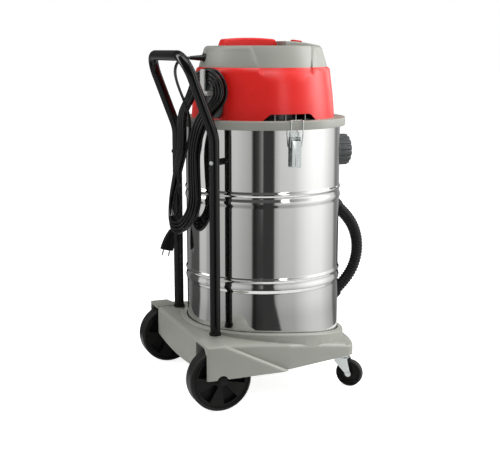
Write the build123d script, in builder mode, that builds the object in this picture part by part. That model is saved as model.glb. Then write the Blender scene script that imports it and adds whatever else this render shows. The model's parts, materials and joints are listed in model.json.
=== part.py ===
from build123d import *
import math
import os

# Shop vacuum on a trolley: a polished steel drum with a motor head, carried on a moulded base with
# two large wheels behind and two swivel casters in front.
# Millimetres, +Z up. The origin is on the floor under the middle of the footprint.
# The inlet and casters are in front (-Y), the push handle and large wheels behind (+Y).
# The sizes that other pieces follow come first in each group.

# Fits
slip = 0.2
gap = 0.4
running = 0.06

# Front casters: the base stands on them
caster_radius = 38.5
caster_width = 23.0
caster_trail = 22.0
caster_turn = 43.0
caster_tyre_depth = 9.0
caster_axle_radius = 4.0
caster_plate_height = 4.0
fork_sheet = 2.5
fork_half = caster_width / 2 + 4.5
fork_top = 2 * caster_radius + 6.0
king_radius = 5.0
boss_radius = 21.0
base_bottom = fork_top + 8.0

# Drum
drum_y = 11.0
drum_radius = 220.0
drum_height = 626.0
drum_wall = 1.2
drum_floor = base_bottom + 34.0
drum_top = drum_floor + drum_height
drum_foot_round = 12.0
bead_proud = 3.2
bead_heights = (30.0, 17.0)
lower_bead = drum_floor + 0.27 * drum_height
upper_bead = drum_floor + 0.645 * drum_height
lip_width = 7.0
lip_depth = 4.0

# Rear wheels
wheel_radius = base_bottom - 5.0
wheel_width = 50.0
wheel_outer = drum_radius + 36.0
axle_y = drum_radius + 2.0
axle_radius = 6.0
tyre_depth = 13.0
hub_radius = 16.0
spoke_count = 5
spoke_share = 0.5
pocket_depth = 16.0
pocket_start = 30.0
hanger_width = 8.0
hanger_length = 46.0
cap_radius = 12.5
cap_height = 7.0

# Trolley base
base_wall = 5.0
caster_x = drum_radius - 40.0
caster_y = 45.0 - drum_radius
arch_outer = wheel_outer + 5.5
arch_inner = wheel_outer - wheel_width - 28.0
wheel_clearance = 5.0
arch_top = 2 * wheel_radius + wheel_clearance
arch_chamfer = 16.0
fender_flank = arch_outer + 4.5
fender_inner = arch_inner + hanger_width
fender_top_y = axle_y - 7.0
fender_front_y = fender_top_y - 186.0
fender_round = 9.0
base_front = drum_radius + 34.0
base_corner_x = caster_x + 20.0
base_corner_y = caster_y - boss_radius
base_corner_round = 45.0
base_flank = fender_flank - 16.0
base_flank_y = 20.0
base_rear = axle_y + 45.0
base_round = 12.0
deck_rear = arch_top + 7.0
deck_mid = base_bottom + 61.0
deck_front = base_bottom + 20.0
collar_radius = drum_radius + 18.0
collar_round = 5.0
pocket_floor = 5.0
lip_rear = deck_rear + 5.0
lip_front = base_bottom + 46.0
lip_crest_y = 115.0
skirt_sag = 12.0
hub_notch = cap_radius + 3.5
well_front = axle_y - wheel_radius - 12.0 - base_wall

# Push handle
tube_radius = 14.0
tube_wall = 1.6
handle_bearing = math.radians(38.18)
handle_reach = drum_radius + 41.57
handle_x = handle_reach * math.sin(handle_bearing)
handle_y = handle_reach * math.cos(handle_bearing)
tube_foot = deck_rear - 35.0
handle_bend_z = drum_top - 26.0
handle_top_y = handle_y + 79.4
handle_top_z = drum_top + 184.0
bend_radius = 110.0
corner_radius = 62.0
ferrule_radius = tube_radius + 2.6
ferrule_height = 7.0
standoff_z = drum_top - 95.0
standoff_radius = 9.0
screw_radius = 2.6
screw_head_radius = 5.5
screw_head_height = 3.0

# Motor head
rim_radius = drum_radius + 14.7
rim_bottom = drum_top - 10.0
rim_top = drum_top + 13.0
rim_wall = 4.0
rim_plate = 6.0
rim_opening = drum_radius - 22.0
gasket_inner = drum_radius - 6.0
cover_height = 134.0
cover_foot_radius = drum_radius - 17.3
cover_waist_radius = cover_foot_radius - 5.7
cover_waist_z = rim_top + 0.515 * cover_height
cover_top_radius = cover_foot_radius - 14.7
cover_top = rim_top + cover_height
cover_shoulder = 5.0
cover_wall = 4.0
top_foot_radius = cover_top_radius - 7.0
top_mid_radius = top_foot_radius - 7.0
top_edge_radius = top_foot_radius - 13.5
top_mid_z = cover_top + 31.0
top_edge_z = cover_top + 50.0
top_height = cover_top + 63.0
top_wall = 4.0
recess_angle = 80.0
recess_depth = 4.5
recess_foot = cover_top - 14.0
recess_top_half = 99.0
recess_low_half = 90.0
recess_bevel = 13.0
recess_slope = 7.0
vent_half = 78.0
vent_top_half = 58.0
vent_height = 17.0
vent_round = 6.0
vent_ribs = 4
vent_spread = 26.0
vent_rib_width = 2.6

# Console, switch and carry handle
console_half = 58.0
console_front_y = 2.5 - top_edge_radius
console_rear_y = console_front_y + 119.0
console_low = top_height - 3.0
console_mid = top_height + 9.0
console_high = top_height + 13.0
console_reach = top_edge_radius - 5.0
console_round = 6.0
finger_half = 44.0
finger_length = 173.0
finger_depth = 30.0
finger_front_y = console_rear_y + 2.0
finger_rear_y = finger_front_y + finger_length
finger_floor = top_height - finger_depth
grip_half = 21.0
grip_high = top_height + 22.0
grip_low = top_height - 1.0
grip_foot = 24.0
grip_gap = 12.0
switch_share = 0.53
switch_seat = 0.5
switch_length = 27.0
switch_width = 20.0
switch_proud = 7.0
switch_well = 14.0
bezel_width = 3.0
bezel_height = 1.6

# Suction inlet
inlet_bore = 20.0
inlet_stop_bore = inlet_bore - 3.0
inlet_radius = inlet_bore + 25.5
inlet_z = drum_top - 91.0
inlet_depth = 56.0
inlet_end = -drum_radius - inlet_depth - 12.0
inlet_lobes = 16
inlet_lobe_radius = 5.0
spigot_radius = inlet_stop_bore + 7.0
hood_length = 38.0
hood_wall = 3.0
flange_radius = inlet_radius + 6.5
flange_depth = 6.0

# Drain hose
hose_radius = 18.0
hose_bore = hose_radius - 5.0
hose_root = 0.9 * hose_radius
hose_bend = 143.0
hose_half_angle = 46.0
hose_straight = 2 * hose_radius
hose_ribs = 34
hose_centre_y = 52.0 - drum_radius
hose_centre_z = drum_floor + 0.377 * drum_height
stub_radius = hose_radius + 3.0
stub_collar = stub_radius + 7.0
stub_length = 26.0

# Latches
latch_hinge_x = drum_radius + 9.0
latch_hinge_z = drum_top - 33.0
latch_arm = 22.0
latch_pin = 2.0
lever_half = 13.0
lever_bottom = latch_hinge_z - 77.0
lever_top = latch_hinge_z - 5.0
lever_sheet = 2.0
flange_sheet = 2.4
flange_round = 4.5
ear_y = 7.5
ear_half = 1.5
ear_radius = 4.0
plate_half = 14.0
plate_sheet = 1.6
plate_bottom = latch_hinge_z - 43.0
plate_top = latch_hinge_z + 17.0
bail_wire = 1.6
bail_half = lever_half + 4.2
bail_reach = 9.0
bail_bend = 2.4

# Cord
cord_radius = 4.0
cord_sides = 8
relief_z = cover_top + 30.0
relief_length = 42.0
relief_end = top_mid_radius + relief_length
relief_root = 9.5
relief_tip = cord_radius + 1.2
relief_flange = relief_root + 2.5
hank_turns = 4
hank_step = 2 * cord_radius + 1.3
hank_layer = 2 * cord_radius + 2.6
hank_bow = 0.002
holder_wall = 4.0
holder_turn = 22.0
holder_angle = 27.0
holder_low = rim_top + 6.0
holder_high = rim_top + 112.0
holder_round = 18.0
hook_half = 20.0
hook_top = rim_top + 77.0
hook_depth = 12.0
prong_half = 7.5
prong_front = cover_top_radius + 35.5
prong_depth = 5.0
prong_top = rim_top + 135.0
plug_x = 80.0
plug_y = drum_radius + 32.0
plug_top = rim_top - 327.0
plug_lean = (0.09, 0.225, -0.97)
plug_length = 60.0
plug_neck = cord_radius + 2.5
plug_half = 20.0
plug_thick = 9.0
pin_radius = 2.4
pin_pitch = 19.0
pin_length = 19.0

# Motors and filter
fan_radius = 72.0
fan_height = 46.0
motor_x = fan_radius + 10.0
motor_radius = 47.0
motor_height = 62.0
motor_shell = 5.0
fan_chamber = fan_radius - motor_shell
impeller_radius = fan_chamber - 4.0
armature_radius = 19.0
shaft_radius = 4.0
cooling_radius = 40.0
cooling_height = 8.0
plate_thickness = 5.0
motor_plate_radius = drum_radius - 8.0
intake_radius = 20.0
cage_radius = motor_x + intake_radius + 10.0
cage_wall = 3.0
cage_length = 170.0
cage_bars = 12
bag_gap = 9.0
bag_wall = 2.5
bag_length = cage_length + 35.0
bag_round = 24.0
float_radius = 60.0
float_height = 72.0
float_disc = cage_radius - 8.0
float_lift = 34.0
stem_radius = 5.0
stem_boss = 9.0

parts_folder = "parts"
os.makedirs(parts_folder, exist_ok=True)
drum_axis = Axis((0, drum_y, 0), (0, 0, 1))
upright = Plane(origin=(0, drum_y, 0), x_dir=(1, 0, 0), z_dir=(0, -1, 0))


def level(z):
    """Horizontal plane on the drum's axis."""
    return Plane((0, drum_y, z))


def across(x):
    """Plane square to X: its own x runs to the rear and its y up."""
    return Plane(origin=(x, drum_y, 0), x_dir=(0, 1, 0), z_dir=(1, 0, 0))


def facing_front(y):
    """Plane square to Y, seen from the front: its own x runs along X and its y up."""
    return Plane(origin=(0, drum_y + y, 0), x_dir=(1, 0, 0), z_dir=(0, -1, 0))


def save(solid, name):
    """Label a finished piece and write its file."""
    solid.label = name
    export_step(solid, f"{parts_folder}/{name}.step")


# Trolley base profiles
def base_plan(inset):
    """Plan of the body: bowed front, rounded corners over the casters, tapering flanks, straight rear."""
    with BuildSketch(level(base_bottom), mode=Mode.PRIVATE) as plan:
        with BuildLine():
            ThreePointArc((-base_corner_x, base_corner_y), (0, -base_front), (base_corner_x, base_corner_y))
            for side in (-1, 1):
                Polyline(
                    (side * base_corner_x, base_corner_y),
                    (side * base_flank, base_flank_y),
                    (side * base_flank, base_rear),
                )
            Line((-base_flank, base_rear), (base_flank, base_rear))
        make_face()
        corners = plan.vertices().group_by(Axis.Y)
        fillet(corners[0], base_corner_round)
        fillet(plan.vertices().filter_by(lambda v: abs(v.Y - drum_y - base_flank_y) < 1), 6 * base_corner_round)
        fillet(plan.vertices().group_by(Axis.Y)[-1], 2 * base_round)
        if inset:
            offset(amount=-inset)
    return plan.sketch


def base_side(inset):
    """Side view of the body: the deck falls in one arc from the rear to the front."""
    with BuildSketch(across(-base_span / 2), mode=Mode.PRIVATE) as side:
        with BuildLine():
            deck = ThreePointArc(
                (-base_span / 2, deck_front - 14 - inset), (-40, deck_mid - inset), (base_rear + 20, deck_rear - inset)
            )
            Polyline(deck @ 1, (base_rear + 20, 0), (-base_span / 2, 0), deck @ 0)
        make_face()
    return side.sketch


def collar_side():
    """Side view of the collar: its lip is an arc that runs out level behind the crest."""
    drop = (lip_rear - lip_front) / 4
    half_y = (lip_crest_y - collar_radius) / 2
    with BuildSketch(across(-base_span / 2), mode=Mode.PRIVATE) as side:
        with BuildLine():
            lip = ThreePointArc((-collar_radius - 1, lip_front), (half_y, lip_rear - drop), (lip_crest_y, lip_rear))
            Polyline(lip @ 1, (base_rear, lip_rear), (base_rear, 0), (-collar_radius - 1, 0), lip @ 0)
        make_face()
    return side.sketch


def fender_side(inset):
    """Side view of a wheel fender: upright at the rear, falling in a straight crease to the front."""
    fall = (deck_rear - base_bottom) / (fender_top_y - fender_front_y)
    with BuildSketch(across(fender_inner), mode=Mode.PRIVATE) as side:
        with BuildLine():
            Polyline(
                (fender_front_y + inset / fall, base_bottom),
                (fender_top_y, deck_rear - inset),
                (base_rear - inset, deck_rear - inset),
                (base_rear - inset, base_bottom),
                close=True,
            )
        make_face()
    return side.sketch


base_span = 2 * (fender_flank + 30)
with BuildPart() as fender:
    extrude(fender_side(0), amount=fender_flank - fender_inner)
    fillet(fender.faces().sort_by(Axis.X)[-1].edges().sort_by(Axis.Z)[1:], fender_round)

with BuildPart() as fender_hollow:
    extrude(fender_side(base_wall), amount=fender_flank - fender_inner - base_wall)

with BuildPart() as body_shell:
    extrude(base_plan(0), amount=lip_rear)
    extrude(base_side(0), amount=base_span, mode=Mode.INTERSECT)
    deck = body_shell.faces().filter_by(GeomType.CYLINDER).sort_by(Axis.Z)[-1]
    fillet(deck.edges(), base_round)

# Walls that close the wheel wells in front and on the inner side
with BuildPart() as wheel_well:
    with BuildSketch(level(base_bottom)):
        with Locations((arch_inner - base_wall, well_front)):
            Rectangle(base_wall, base_rear - well_front, align=Align.MIN)
            Rectangle(arch_outer - arch_inner + base_wall, base_wall, align=Align.MIN)
    extrude(amount=deck_rear - base_bottom)
    add(body_shell.part + fender.part, mode=Mode.INTERSECT)

with BuildPart() as body_hollow:
    extrude(base_plan(base_wall), amount=lip_rear)
    extrude(base_side(base_wall), amount=base_span, mode=Mode.INTERSECT)

with BuildPart() as collar:
    with BuildSketch(level(base_bottom)):
        Circle(collar_radius)
    extrude(amount=lip_rear)
    extrude(collar_side(), amount=base_span, mode=Mode.INTERSECT)
    lip = collar.edges().filter_by(lambda e: e.center().Z > base_bottom + 20)
    fillet([e for e in lip if e.geom_type != GeomType.LINE and len(e.vertices()) == 2 and e.length > 100], collar_round)


# Trolley base
def leg_points():
    """Feet of the push handle, one each side."""
    return [(side * handle_x, handle_y) for side in (-1, 1)]


pocket_radius = drum_radius + gap
with BuildPart() as trolley_base:
    add(body_shell.part)
    add(collar.part)
    for form, mode in (
        (fender, Mode.ADD),
        (body_hollow, Mode.SUBTRACT),
        (fender_hollow, Mode.SUBTRACT),
        (wheel_well, Mode.ADD),
    ):
        add(form.part, mode=mode)
        add(mirror(form.part, Plane.YZ, mode=Mode.PRIVATE), mode=mode)
    with BuildSketch(level(drum_floor - pocket_floor)):
        Circle(pocket_radius + base_wall)
    extrude(amount=deck_front + 20 - drum_floor)
    with BuildSketch(level(base_bottom)):
        with Locations((-caster_x, caster_y), (caster_x, caster_y)):
            Circle(boss_radius)
    extrude(amount=drum_floor - base_bottom)
    with BuildSketch(level(tube_foot - base_wall)):
        with Locations(leg_points()):
            Circle(tube_radius + base_wall)
    extrude(amount=deck_rear - tube_foot + base_wall)
    for side in (-1, 1):
        with BuildSketch(across(side * (arch_inner - hanger_width / 2))):
            with Locations((axle_y, wheel_radius)):
                Circle(hanger_length / 2)
            with Locations((axle_y, (wheel_radius + arch_top) / 2)):
                Rectangle(hanger_length, arch_top - wheel_radius + 10)
        extrude(amount=hanger_width / 2, both=True)
    with BuildSketch(level(drum_floor)):
        Circle(pocket_radius)
    extrude(amount=lip_rear, mode=Mode.SUBTRACT)
    with BuildSketch(level(tube_foot)):
        with Locations(leg_points()):
            Circle(tube_radius + slip)
    extrude(amount=deck_rear, mode=Mode.SUBTRACT)
    for side in (-1, 1):
        with BuildSketch(facing_front(base_rear + 30)):
            with BuildLine():
                Polyline(
                    (side * arch_inner, 0),
                    (side * arch_inner, arch_top),
                    (side * (arch_outer - arch_chamfer), arch_top),
                    (side * arch_outer, arch_top - arch_chamfer),
                    (side * arch_outer, 0),
                    close=True,
                )
            make_face()
        extrude(amount=30 + base_rear - axle_y, mode=Mode.SUBTRACT)
    with BuildSketch(facing_front(base_rear + 30)):
        with BuildLine():
            hem = ThreePointArc(
                (-arch_inner, base_bottom + skirt_sag), (0, base_bottom), (arch_inner, base_bottom + skirt_sag)
            )
            Polyline(hem @ 1, (arch_inner, 0), (-arch_inner, 0), hem @ 0)
        make_face()
    extrude(amount=30 + 2 * base_wall, mode=Mode.SUBTRACT)
    with BuildSketch(across(-fender_flank - 1)):
        with Locations((axle_y, wheel_radius)):
            Circle(axle_radius + slip)
    extrude(amount=2 * fender_flank + 2, mode=Mode.SUBTRACT)
    for side in (-1, 1):
        with BuildSketch(across(side * (fender_flank - base_wall))):
            with Locations((axle_y, wheel_radius)):
                Circle(hub_notch)
        extrude(amount=side * 2 * base_wall, mode=Mode.SUBTRACT)
save(trolley_base.part, "trolley_base")


# Drum
def drum_profile(grow):
    """Half section of the drum: rounded foot, two pairs of rolled beads and a straight top."""
    radius = drum_radius + grow
    with BuildSketch(upright, mode=Mode.PRIVATE) as section:
        with BuildLine():
            foot = Line((0, drum_floor - grow), (radius - drum_foot_round, drum_floor - grow))
            turn = RadiusArc(foot @ 1, (radius, drum_floor - grow + drum_foot_round), -drum_foot_round)
            last = turn @ 1
            for start in (lower_bead, upper_bead):
                low = start
                rise = Line(last, (radius, low))
                last = rise @ 1
                for height in bead_heights:
                    bead = ThreePointArc(last, (radius + bead_proud, low + height / 2), (radius, low + height))
                    low += height
                    last = bead @ 1
            Polyline(last, (radius, drum_top + grow), (0, drum_top + grow), (0, drum_floor - grow))
        make_face()
    return section.sketch


def hose_plane(side, shift):
    """Plane at an end of the drain hose, upper (1) or lower (-1), facing on into the drum."""
    angle = math.radians(hose_half_angle)
    way = Vector(0, math.sin(angle), side * math.cos(angle))
    bend_end = Vector(
        0,
        drum_y + hose_centre_y - hose_bend * math.cos(angle),
        hose_centre_z + side * hose_bend * math.sin(angle),
    )
    return Plane(origin=bend_end + way * (hose_straight + shift), x_dir=(1, 0, 0), z_dir=way)


with BuildPart() as drum_room:
    revolve(drum_profile(gap), axis=drum_axis)

with BuildPart() as drum:
    revolve(drum_profile(0), axis=drum_axis)
    revolve(drum_profile(-drum_wall), axis=drum_axis, mode=Mode.SUBTRACT)
    with BuildSketch(level(drum_top - lip_depth)):
        Circle(drum_radius + lip_width)
        Circle(drum_radius - drum_wall / 2, mode=Mode.SUBTRACT)
    extrude(amount=lip_depth)
    with BuildSketch(level(drum_top - drum_wall)):
        Circle(drum_radius - drum_wall)
    extrude(amount=2 * drum_wall, mode=Mode.SUBTRACT)
    with BuildSketch(facing_front(0)):
        with Locations((0, inlet_z)):
            Circle(spigot_radius + slip)
    extrude(amount=drum_radius + 20, mode=Mode.SUBTRACT)
    with BuildSketch(hose_plane(-1, 0)):
        Circle(hose_bore)
    extrude(amount=stub_length + 20, mode=Mode.SUBTRACT)
print("drum", drum.part.volume, drum.part.is_valid, len(drum.solids()))
save(drum.part, "drum")

with BuildPart() as drum_gasket:
    with BuildSketch(level(drum_top)):
        Circle(drum_radius + lip_width - 1)
        Circle(gasket_inner, mode=Mode.SUBTRACT)
    extrude(amount=rim_top - rim_plate - drum_top)
save(drum_gasket.part, "drum_gasket")

# Push handle
handle_route = [
    (-handle_x, handle_y, tube_foot),
    (-handle_x, handle_y, handle_bend_z),
    (-handle_x, handle_top_y, handle_top_z),
    (handle_x, handle_top_y, handle_top_z),
    (handle_x, handle_y, handle_bend_z),
    (handle_x, handle_y, tube_foot),
]


def standoff_plane(side):
    """Plane on a leg's axis at the standoff, facing straight out from the drum."""
    out = Vector(side * handle_x, handle_y, 0).normalized()
    return Plane(origin=(side * handle_x, drum_y + handle_y, standoff_z), x_dir=(0, 0, 1), z_dir=out)


with BuildPart() as handle_tube:
    with BuildLine() as handle_path:
        FilletPolyline(
            [(x, y + drum_y, z) for x, y, z in handle_route],
            radius=[bend_radius, corner_radius, corner_radius, bend_radius],
        )
    with BuildSketch(Plane((-handle_x, drum_y + handle_y, tube_foot))):
        Circle(tube_radius)
        Circle(tube_radius - tube_wall, mode=Mode.SUBTRACT)
    sweep(path=handle_path.wires()[0])
    for side in (-1, 1):
        with BuildSketch(standoff_plane(side)):
            Circle(screw_radius + slip)
        extrude(amount=tube_radius + 2, both=True, mode=Mode.SUBTRACT)
save(handle_tube.part, "handle_tube")

with BuildPart() as handle_ferrules:
    with BuildSketch(level(deck_rear)):
        with Locations(leg_points()):
            Circle(ferrule_radius)
            Circle(tube_radius + slip, mode=Mode.SUBTRACT)
    extrude(amount=ferrule_height)
    fillet(handle_ferrules.edges().group_by(Axis.Z)[-1].sort_by(SortBy.RADIUS)[-2:], 1.5)
save(handle_ferrules.part, "handle_ferrules")

with BuildPart() as handle_standoffs:
    for side in (-1, 1):
        with BuildSketch(standoff_plane(side)):
            Circle(standoff_radius)
            Circle(screw_radius + slip, mode=Mode.SUBTRACT)
        extrude(amount=-(math.hypot(handle_x, handle_y) - drum_radius + 6))
    with BuildSketch(level(0)):
        with Locations(leg_points()):
            Circle(tube_radius + slip)
    extrude(amount=handle_bend_z, mode=Mode.SUBTRACT)
    add(drum_room.part, mode=Mode.SUBTRACT)
save(handle_standoffs.part, "handle_standoffs")

with BuildPart() as handle_screws:
    for side in (-1, 1):
        with BuildSketch(standoff_plane(side).offset(tube_radius + slip)):
            Circle(screw_head_radius)
        extrude(amount=screw_head_height)
        with BuildSketch(standoff_plane(side).offset(tube_radius + slip)):
            Circle(screw_radius)
        extrude(amount=-(math.hypot(handle_x, handle_y) - drum_radius + tube_radius - 2))
    outer_faces = handle_screws.faces().filter_by(GeomType.PLANE).filter_by(lambda f: f.area > 80)
    domes = outer_faces.sort_by(lambda f: -(f.center().X**2 + (f.center().Y - drum_y) ** 2))[:2]
    fillet([face.outer_wire().edges()[0] for face in domes], screw_head_height * 0.6)
save(handle_screws.part, "handle_screws")


# Rear wheels and their axle
axle_line = Axis((0, drum_y + axle_y, wheel_radius), (1, 0, 0))
wheel_section = Plane(origin=(0, drum_y + axle_y, wheel_radius), x_dir=(1, 0, 0), z_dir=(0, -1, 0))
wheel_middle = wheel_outer - wheel_width / 2
hub_rim = wheel_radius - tyre_depth
hub_width = wheel_width - 4
sides = (("right", -1), ("left", 1))


def wheel_spot(radius, angle):
    """Point of a wheel in the plane square to its axle."""
    return (axle_y + radius * math.cos(angle), wheel_radius + radius * math.sin(angle))


with BuildPart() as tyre:
    with BuildSketch(wheel_section) as tyre_section:
        with Locations((wheel_middle, wheel_radius - tyre_depth / 2)):
            Rectangle(wheel_width, tyre_depth)
        fillet(tyre_section.vertices().sort_by(Axis.Y)[-2:], tyre_depth / 2)
    revolve(axis=axle_line)

with BuildPart() as hub:
    with BuildSketch(wheel_section):
        with Locations((wheel_middle, (hub_rim - slip) / 2)):
            Rectangle(hub_width, hub_rim - slip)
    revolve(axis=axle_line)
    with BuildSketch(wheel_section):
        with Locations((wheel_middle, hub_radius / 2)):
            Rectangle(wheel_width, hub_radius)
    revolve(axis=axle_line)
    for face_x in (wheel_middle + hub_width / 2, wheel_middle - hub_width / 2):
        inward = -1 if face_x > wheel_middle else 1
        with BuildSketch(across(face_x)) as pockets:
            half = math.radians(360 / spoke_count * (1 - spoke_share) / 2)
            low = hub_radius + 4
            high = hub_rim - 6
            for index in range(spoke_count):
                middle = math.radians(pocket_start + 360 * index / spoke_count)
                with BuildLine():
                    outer = ThreePointArc(
                        wheel_spot(high, middle - half),
                        wheel_spot(high, middle),
                        wheel_spot(high, middle + half),
                    )
                    Polyline(outer @ 1, wheel_spot(low, middle + half), wheel_spot(low, middle - half), outer @ 0)
                make_face()
        extrude(amount=inward * pocket_depth, mode=Mode.SUBTRACT)
    with BuildSketch(across(wheel_middle)):
        with Locations((axle_y, wheel_radius)):
            Circle(axle_radius + running)
    extrude(amount=wheel_width, both=True, mode=Mode.SUBTRACT)
print("hub", hub.part.volume, hub.part.is_valid)

for word, side in sides:
    for form, name in ((tyre, "rear_tyre"), (hub, "rear_hub")):
        save(form.part if side > 0 else mirror(form.part, Plane.YZ), f"{name}_{word}")

with BuildPart() as rear_axle:
    with BuildSketch(across(-wheel_outer - gap)):
        with Locations((axle_y, wheel_radius)):
            Circle(axle_radius)
    extrude(amount=2 * (wheel_outer + gap))
save(rear_axle.part, "rear_axle")

with BuildPart() as axle_caps:
    for word, side in sides:
        with BuildSketch(across(side * (wheel_outer + gap))):
            with Locations((axle_y, wheel_radius)):
                Circle(cap_radius)
        extrude(amount=side * cap_height)
    cap_ends = axle_caps.faces().filter_by(Axis.X).sort_by(Axis.X)
    fillet([cap_ends[0].edges()[0], cap_ends[-1].edges()[0]], cap_height * 0.6)
save(axle_caps.part, "axle_caps")


# Front casters
def caster_way(side):
    """Direction in which a caster's wheel trails at rest."""
    turn = math.radians(caster_turn)
    return Vector(side * math.cos(turn), -math.sin(turn), 0)


def fork_plane(side, shift):
    """Upright plane along a caster's fork: its own x is the way of the trail, its y is up."""
    way = caster_way(side)
    normal = way.cross(Vector(0, 0, 1))
    foot = Vector(side * caster_x, drum_y + caster_y, 0) + normal * shift
    return Plane(origin=foot, x_dir=way, z_dir=normal)


def caster_level(side, z):
    """Horizontal plane on a caster's swivel axis, turned the way of the trail."""
    return Plane(origin=(side * caster_x, drum_y + caster_y, z), x_dir=caster_way(side), z_dir=(0, 0, 1))


fork_inner = fork_half - fork_sheet
fork_span = 19.0
head_top = fork_top - fork_sheet - gap
head_height = 3.4
for word, side in sides:
    with BuildPart() as caster_plate:
        with BuildSketch(caster_level(side, base_bottom - caster_plate_height)):
            Circle(boss_radius - 2)
        extrude(amount=caster_plate_height)
        with BuildSketch(caster_level(side, fork_top + gap)):
            Circle(boss_radius - 5)
        extrude(amount=base_bottom - caster_plate_height - fork_top - gap)
        with BuildSketch(caster_level(side, head_top - head_height)):
            Circle(king_radius)
        extrude(amount=base_bottom - head_top + head_height)
        with BuildSketch(caster_level(side, head_top - head_height)):
            Circle(king_radius + 2.5)
        extrude(amount=head_height)
    save(caster_plate.part, f"caster_plate_{word}")

    with BuildPart() as caster_fork:
        for hand in (-1, 1):
            with BuildSketch(fork_plane(side, hand * (fork_half - fork_sheet / 2))):
                with BuildLine():
                    Polyline(
                        (-fork_span, fork_top),
                        (fork_span, fork_top),
                        (caster_trail + 8, caster_radius),
                        (caster_trail - 8, caster_radius),
                        (-fork_span, fork_top - 12),
                        close=True,
                    )
                make_face()
                with Locations((caster_trail, caster_radius)):
                    Circle(9)
                    Circle(caster_axle_radius + slip, mode=Mode.SUBTRACT)
            extrude(amount=fork_sheet / 2, both=True)
        with BuildSketch(caster_level(side, fork_top - fork_sheet)):
            Rectangle(2 * fork_span, 2 * fork_half)
            Circle(king_radius + running, mode=Mode.SUBTRACT)
        extrude(amount=fork_sheet)
    save(caster_fork.part, f"caster_fork_{word}")

    with BuildPart() as caster_axle:
        with BuildSketch(fork_plane(side, -fork_half)):
            with Locations((caster_trail, caster_radius)):
                Circle(caster_axle_radius)
        extrude(amount=2 * fork_half)
        for hand in (-1, 1):
            with BuildSketch(fork_plane(side, hand * fork_half)):
                with Locations((caster_trail, caster_radius)):
                    Circle(caster_axle_radius + 2)
            extrude(amount=hand * 2)
    save(caster_axle.part, f"caster_axle_{word}")

    with BuildPart() as caster_tyre:
        with BuildSketch(fork_plane(side, 0)):
            with Locations((caster_trail, caster_radius)):
                Circle(caster_radius)
                Circle(caster_radius - caster_tyre_depth, mode=Mode.SUBTRACT)
        extrude(amount=caster_width / 2, both=True)
        fillet(caster_tyre.edges().filter_by(GeomType.CIRCLE).sort_by(SortBy.RADIUS)[-2:], 5)
    save(caster_tyre.part, f"caster_tyre_{word}")

    with BuildPart() as caster_hub:
        with BuildSketch(fork_plane(side, 0)):
            with Locations((caster_trail, caster_radius)):
                Circle(caster_radius - caster_tyre_depth - slip)
        extrude(amount=caster_width / 2 - 2, both=True)
        for hand in (-1, 1):
            with BuildSketch(fork_plane(side, hand * (caster_width / 2 - 2))):
                with Locations((caster_trail, caster_radius)):
                    Circle(caster_radius - caster_tyre_depth - 5)
                    Circle(9, mode=Mode.SUBTRACT)
            extrude(amount=-hand * 4, mode=Mode.SUBTRACT)
        with BuildSketch(fork_plane(side, 0)):
            with Locations((caster_trail, caster_radius)):
                Circle(8)
        extrude(amount=fork_inner - gap, both=True)
        with BuildSketch(fork_plane(side, 0)):
            with Locations((caster_trail, caster_radius)):
                Circle(caster_axle_radius + running)
        extrude(amount=fork_half, both=True, mode=Mode.SUBTRACT)
    save(caster_hub.part, f"caster_hub_{word}")


# Motor head
def turned_plane(angle):
    """Upright plane through the drum's axis, its own x pointing out at the angle from +X."""
    turn = math.radians(angle)
    out = Vector(math.cos(turn), math.sin(turn), 0)
    return Plane(origin=(0, drum_y, 0), x_dir=out, z_dir=out.cross(Vector(0, 0, 1)))


def cover_section(grow, plane):
    """Half section of the red cover: a slightly bowed taper with a small shoulder."""
    with BuildSketch(plane, mode=Mode.PRIVATE) as section:
        with BuildLine():
            flank = ThreePointArc(
                (cover_foot_radius + grow, rim_top),
                (cover_waist_radius + grow, cover_waist_z),
                (cover_top_radius + grow, cover_top),
            )
            Polyline(
                flank @ 1,
                (top_foot_radius + 1 + grow, cover_top + cover_shoulder + min(grow, 0)),
                (0, cover_top + cover_shoulder + min(grow, 0)),
                (0, rim_top),
                flank @ 0,
            )
        make_face()
    return section.sketch


def top_section(grow, plane):
    """Half section of the grey top: a taper, a rounded edge and a low crown."""
    foot = cover_top + cover_shoulder
    with BuildSketch(plane, mode=Mode.PRIVATE) as section:
        with BuildLine():
            flank = ThreePointArc(
                (top_foot_radius + grow, foot),
                (top_mid_radius + grow, top_mid_z),
                (top_edge_radius + grow, top_edge_z),
            )
            edge = ThreePointArc(
                flank @ 1,
                (top_edge_radius - 4 + grow, top_height - 4 + grow),
                (top_edge_radius - 16 + grow, top_height + grow),
            )
            Polyline(edge @ 1, (0, top_height + grow), (0, foot), flank @ 0)
        make_face()
    return section.sketch


def recess_band(depth, angle, foot):
    """Section of the shallow panel let into each side of the cover and the top."""
    out = cover_foot_radius + 20
    floor = top_foot_radius + 6 - depth
    fall = recess_slope * (out - floor) / (cover_top_radius + 2 - floor)
    with BuildSketch(turned_plane(-angle / 2), mode=Mode.PRIVATE) as band:
        with BuildLine():
            Polyline(
                (floor, foot + recess_slope),
                (top_foot_radius + 1 - depth, cover_top + cover_shoulder),
                (top_mid_radius - depth, top_mid_z),
                (top_edge_radius - depth, top_edge_z),
                (top_edge_radius - 6 - depth, top_height + 2),
                (out, top_height + 2),
                (out, foot + recess_slope - fall),
                close=True,
            )
        make_face()
    return band.sketch


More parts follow.
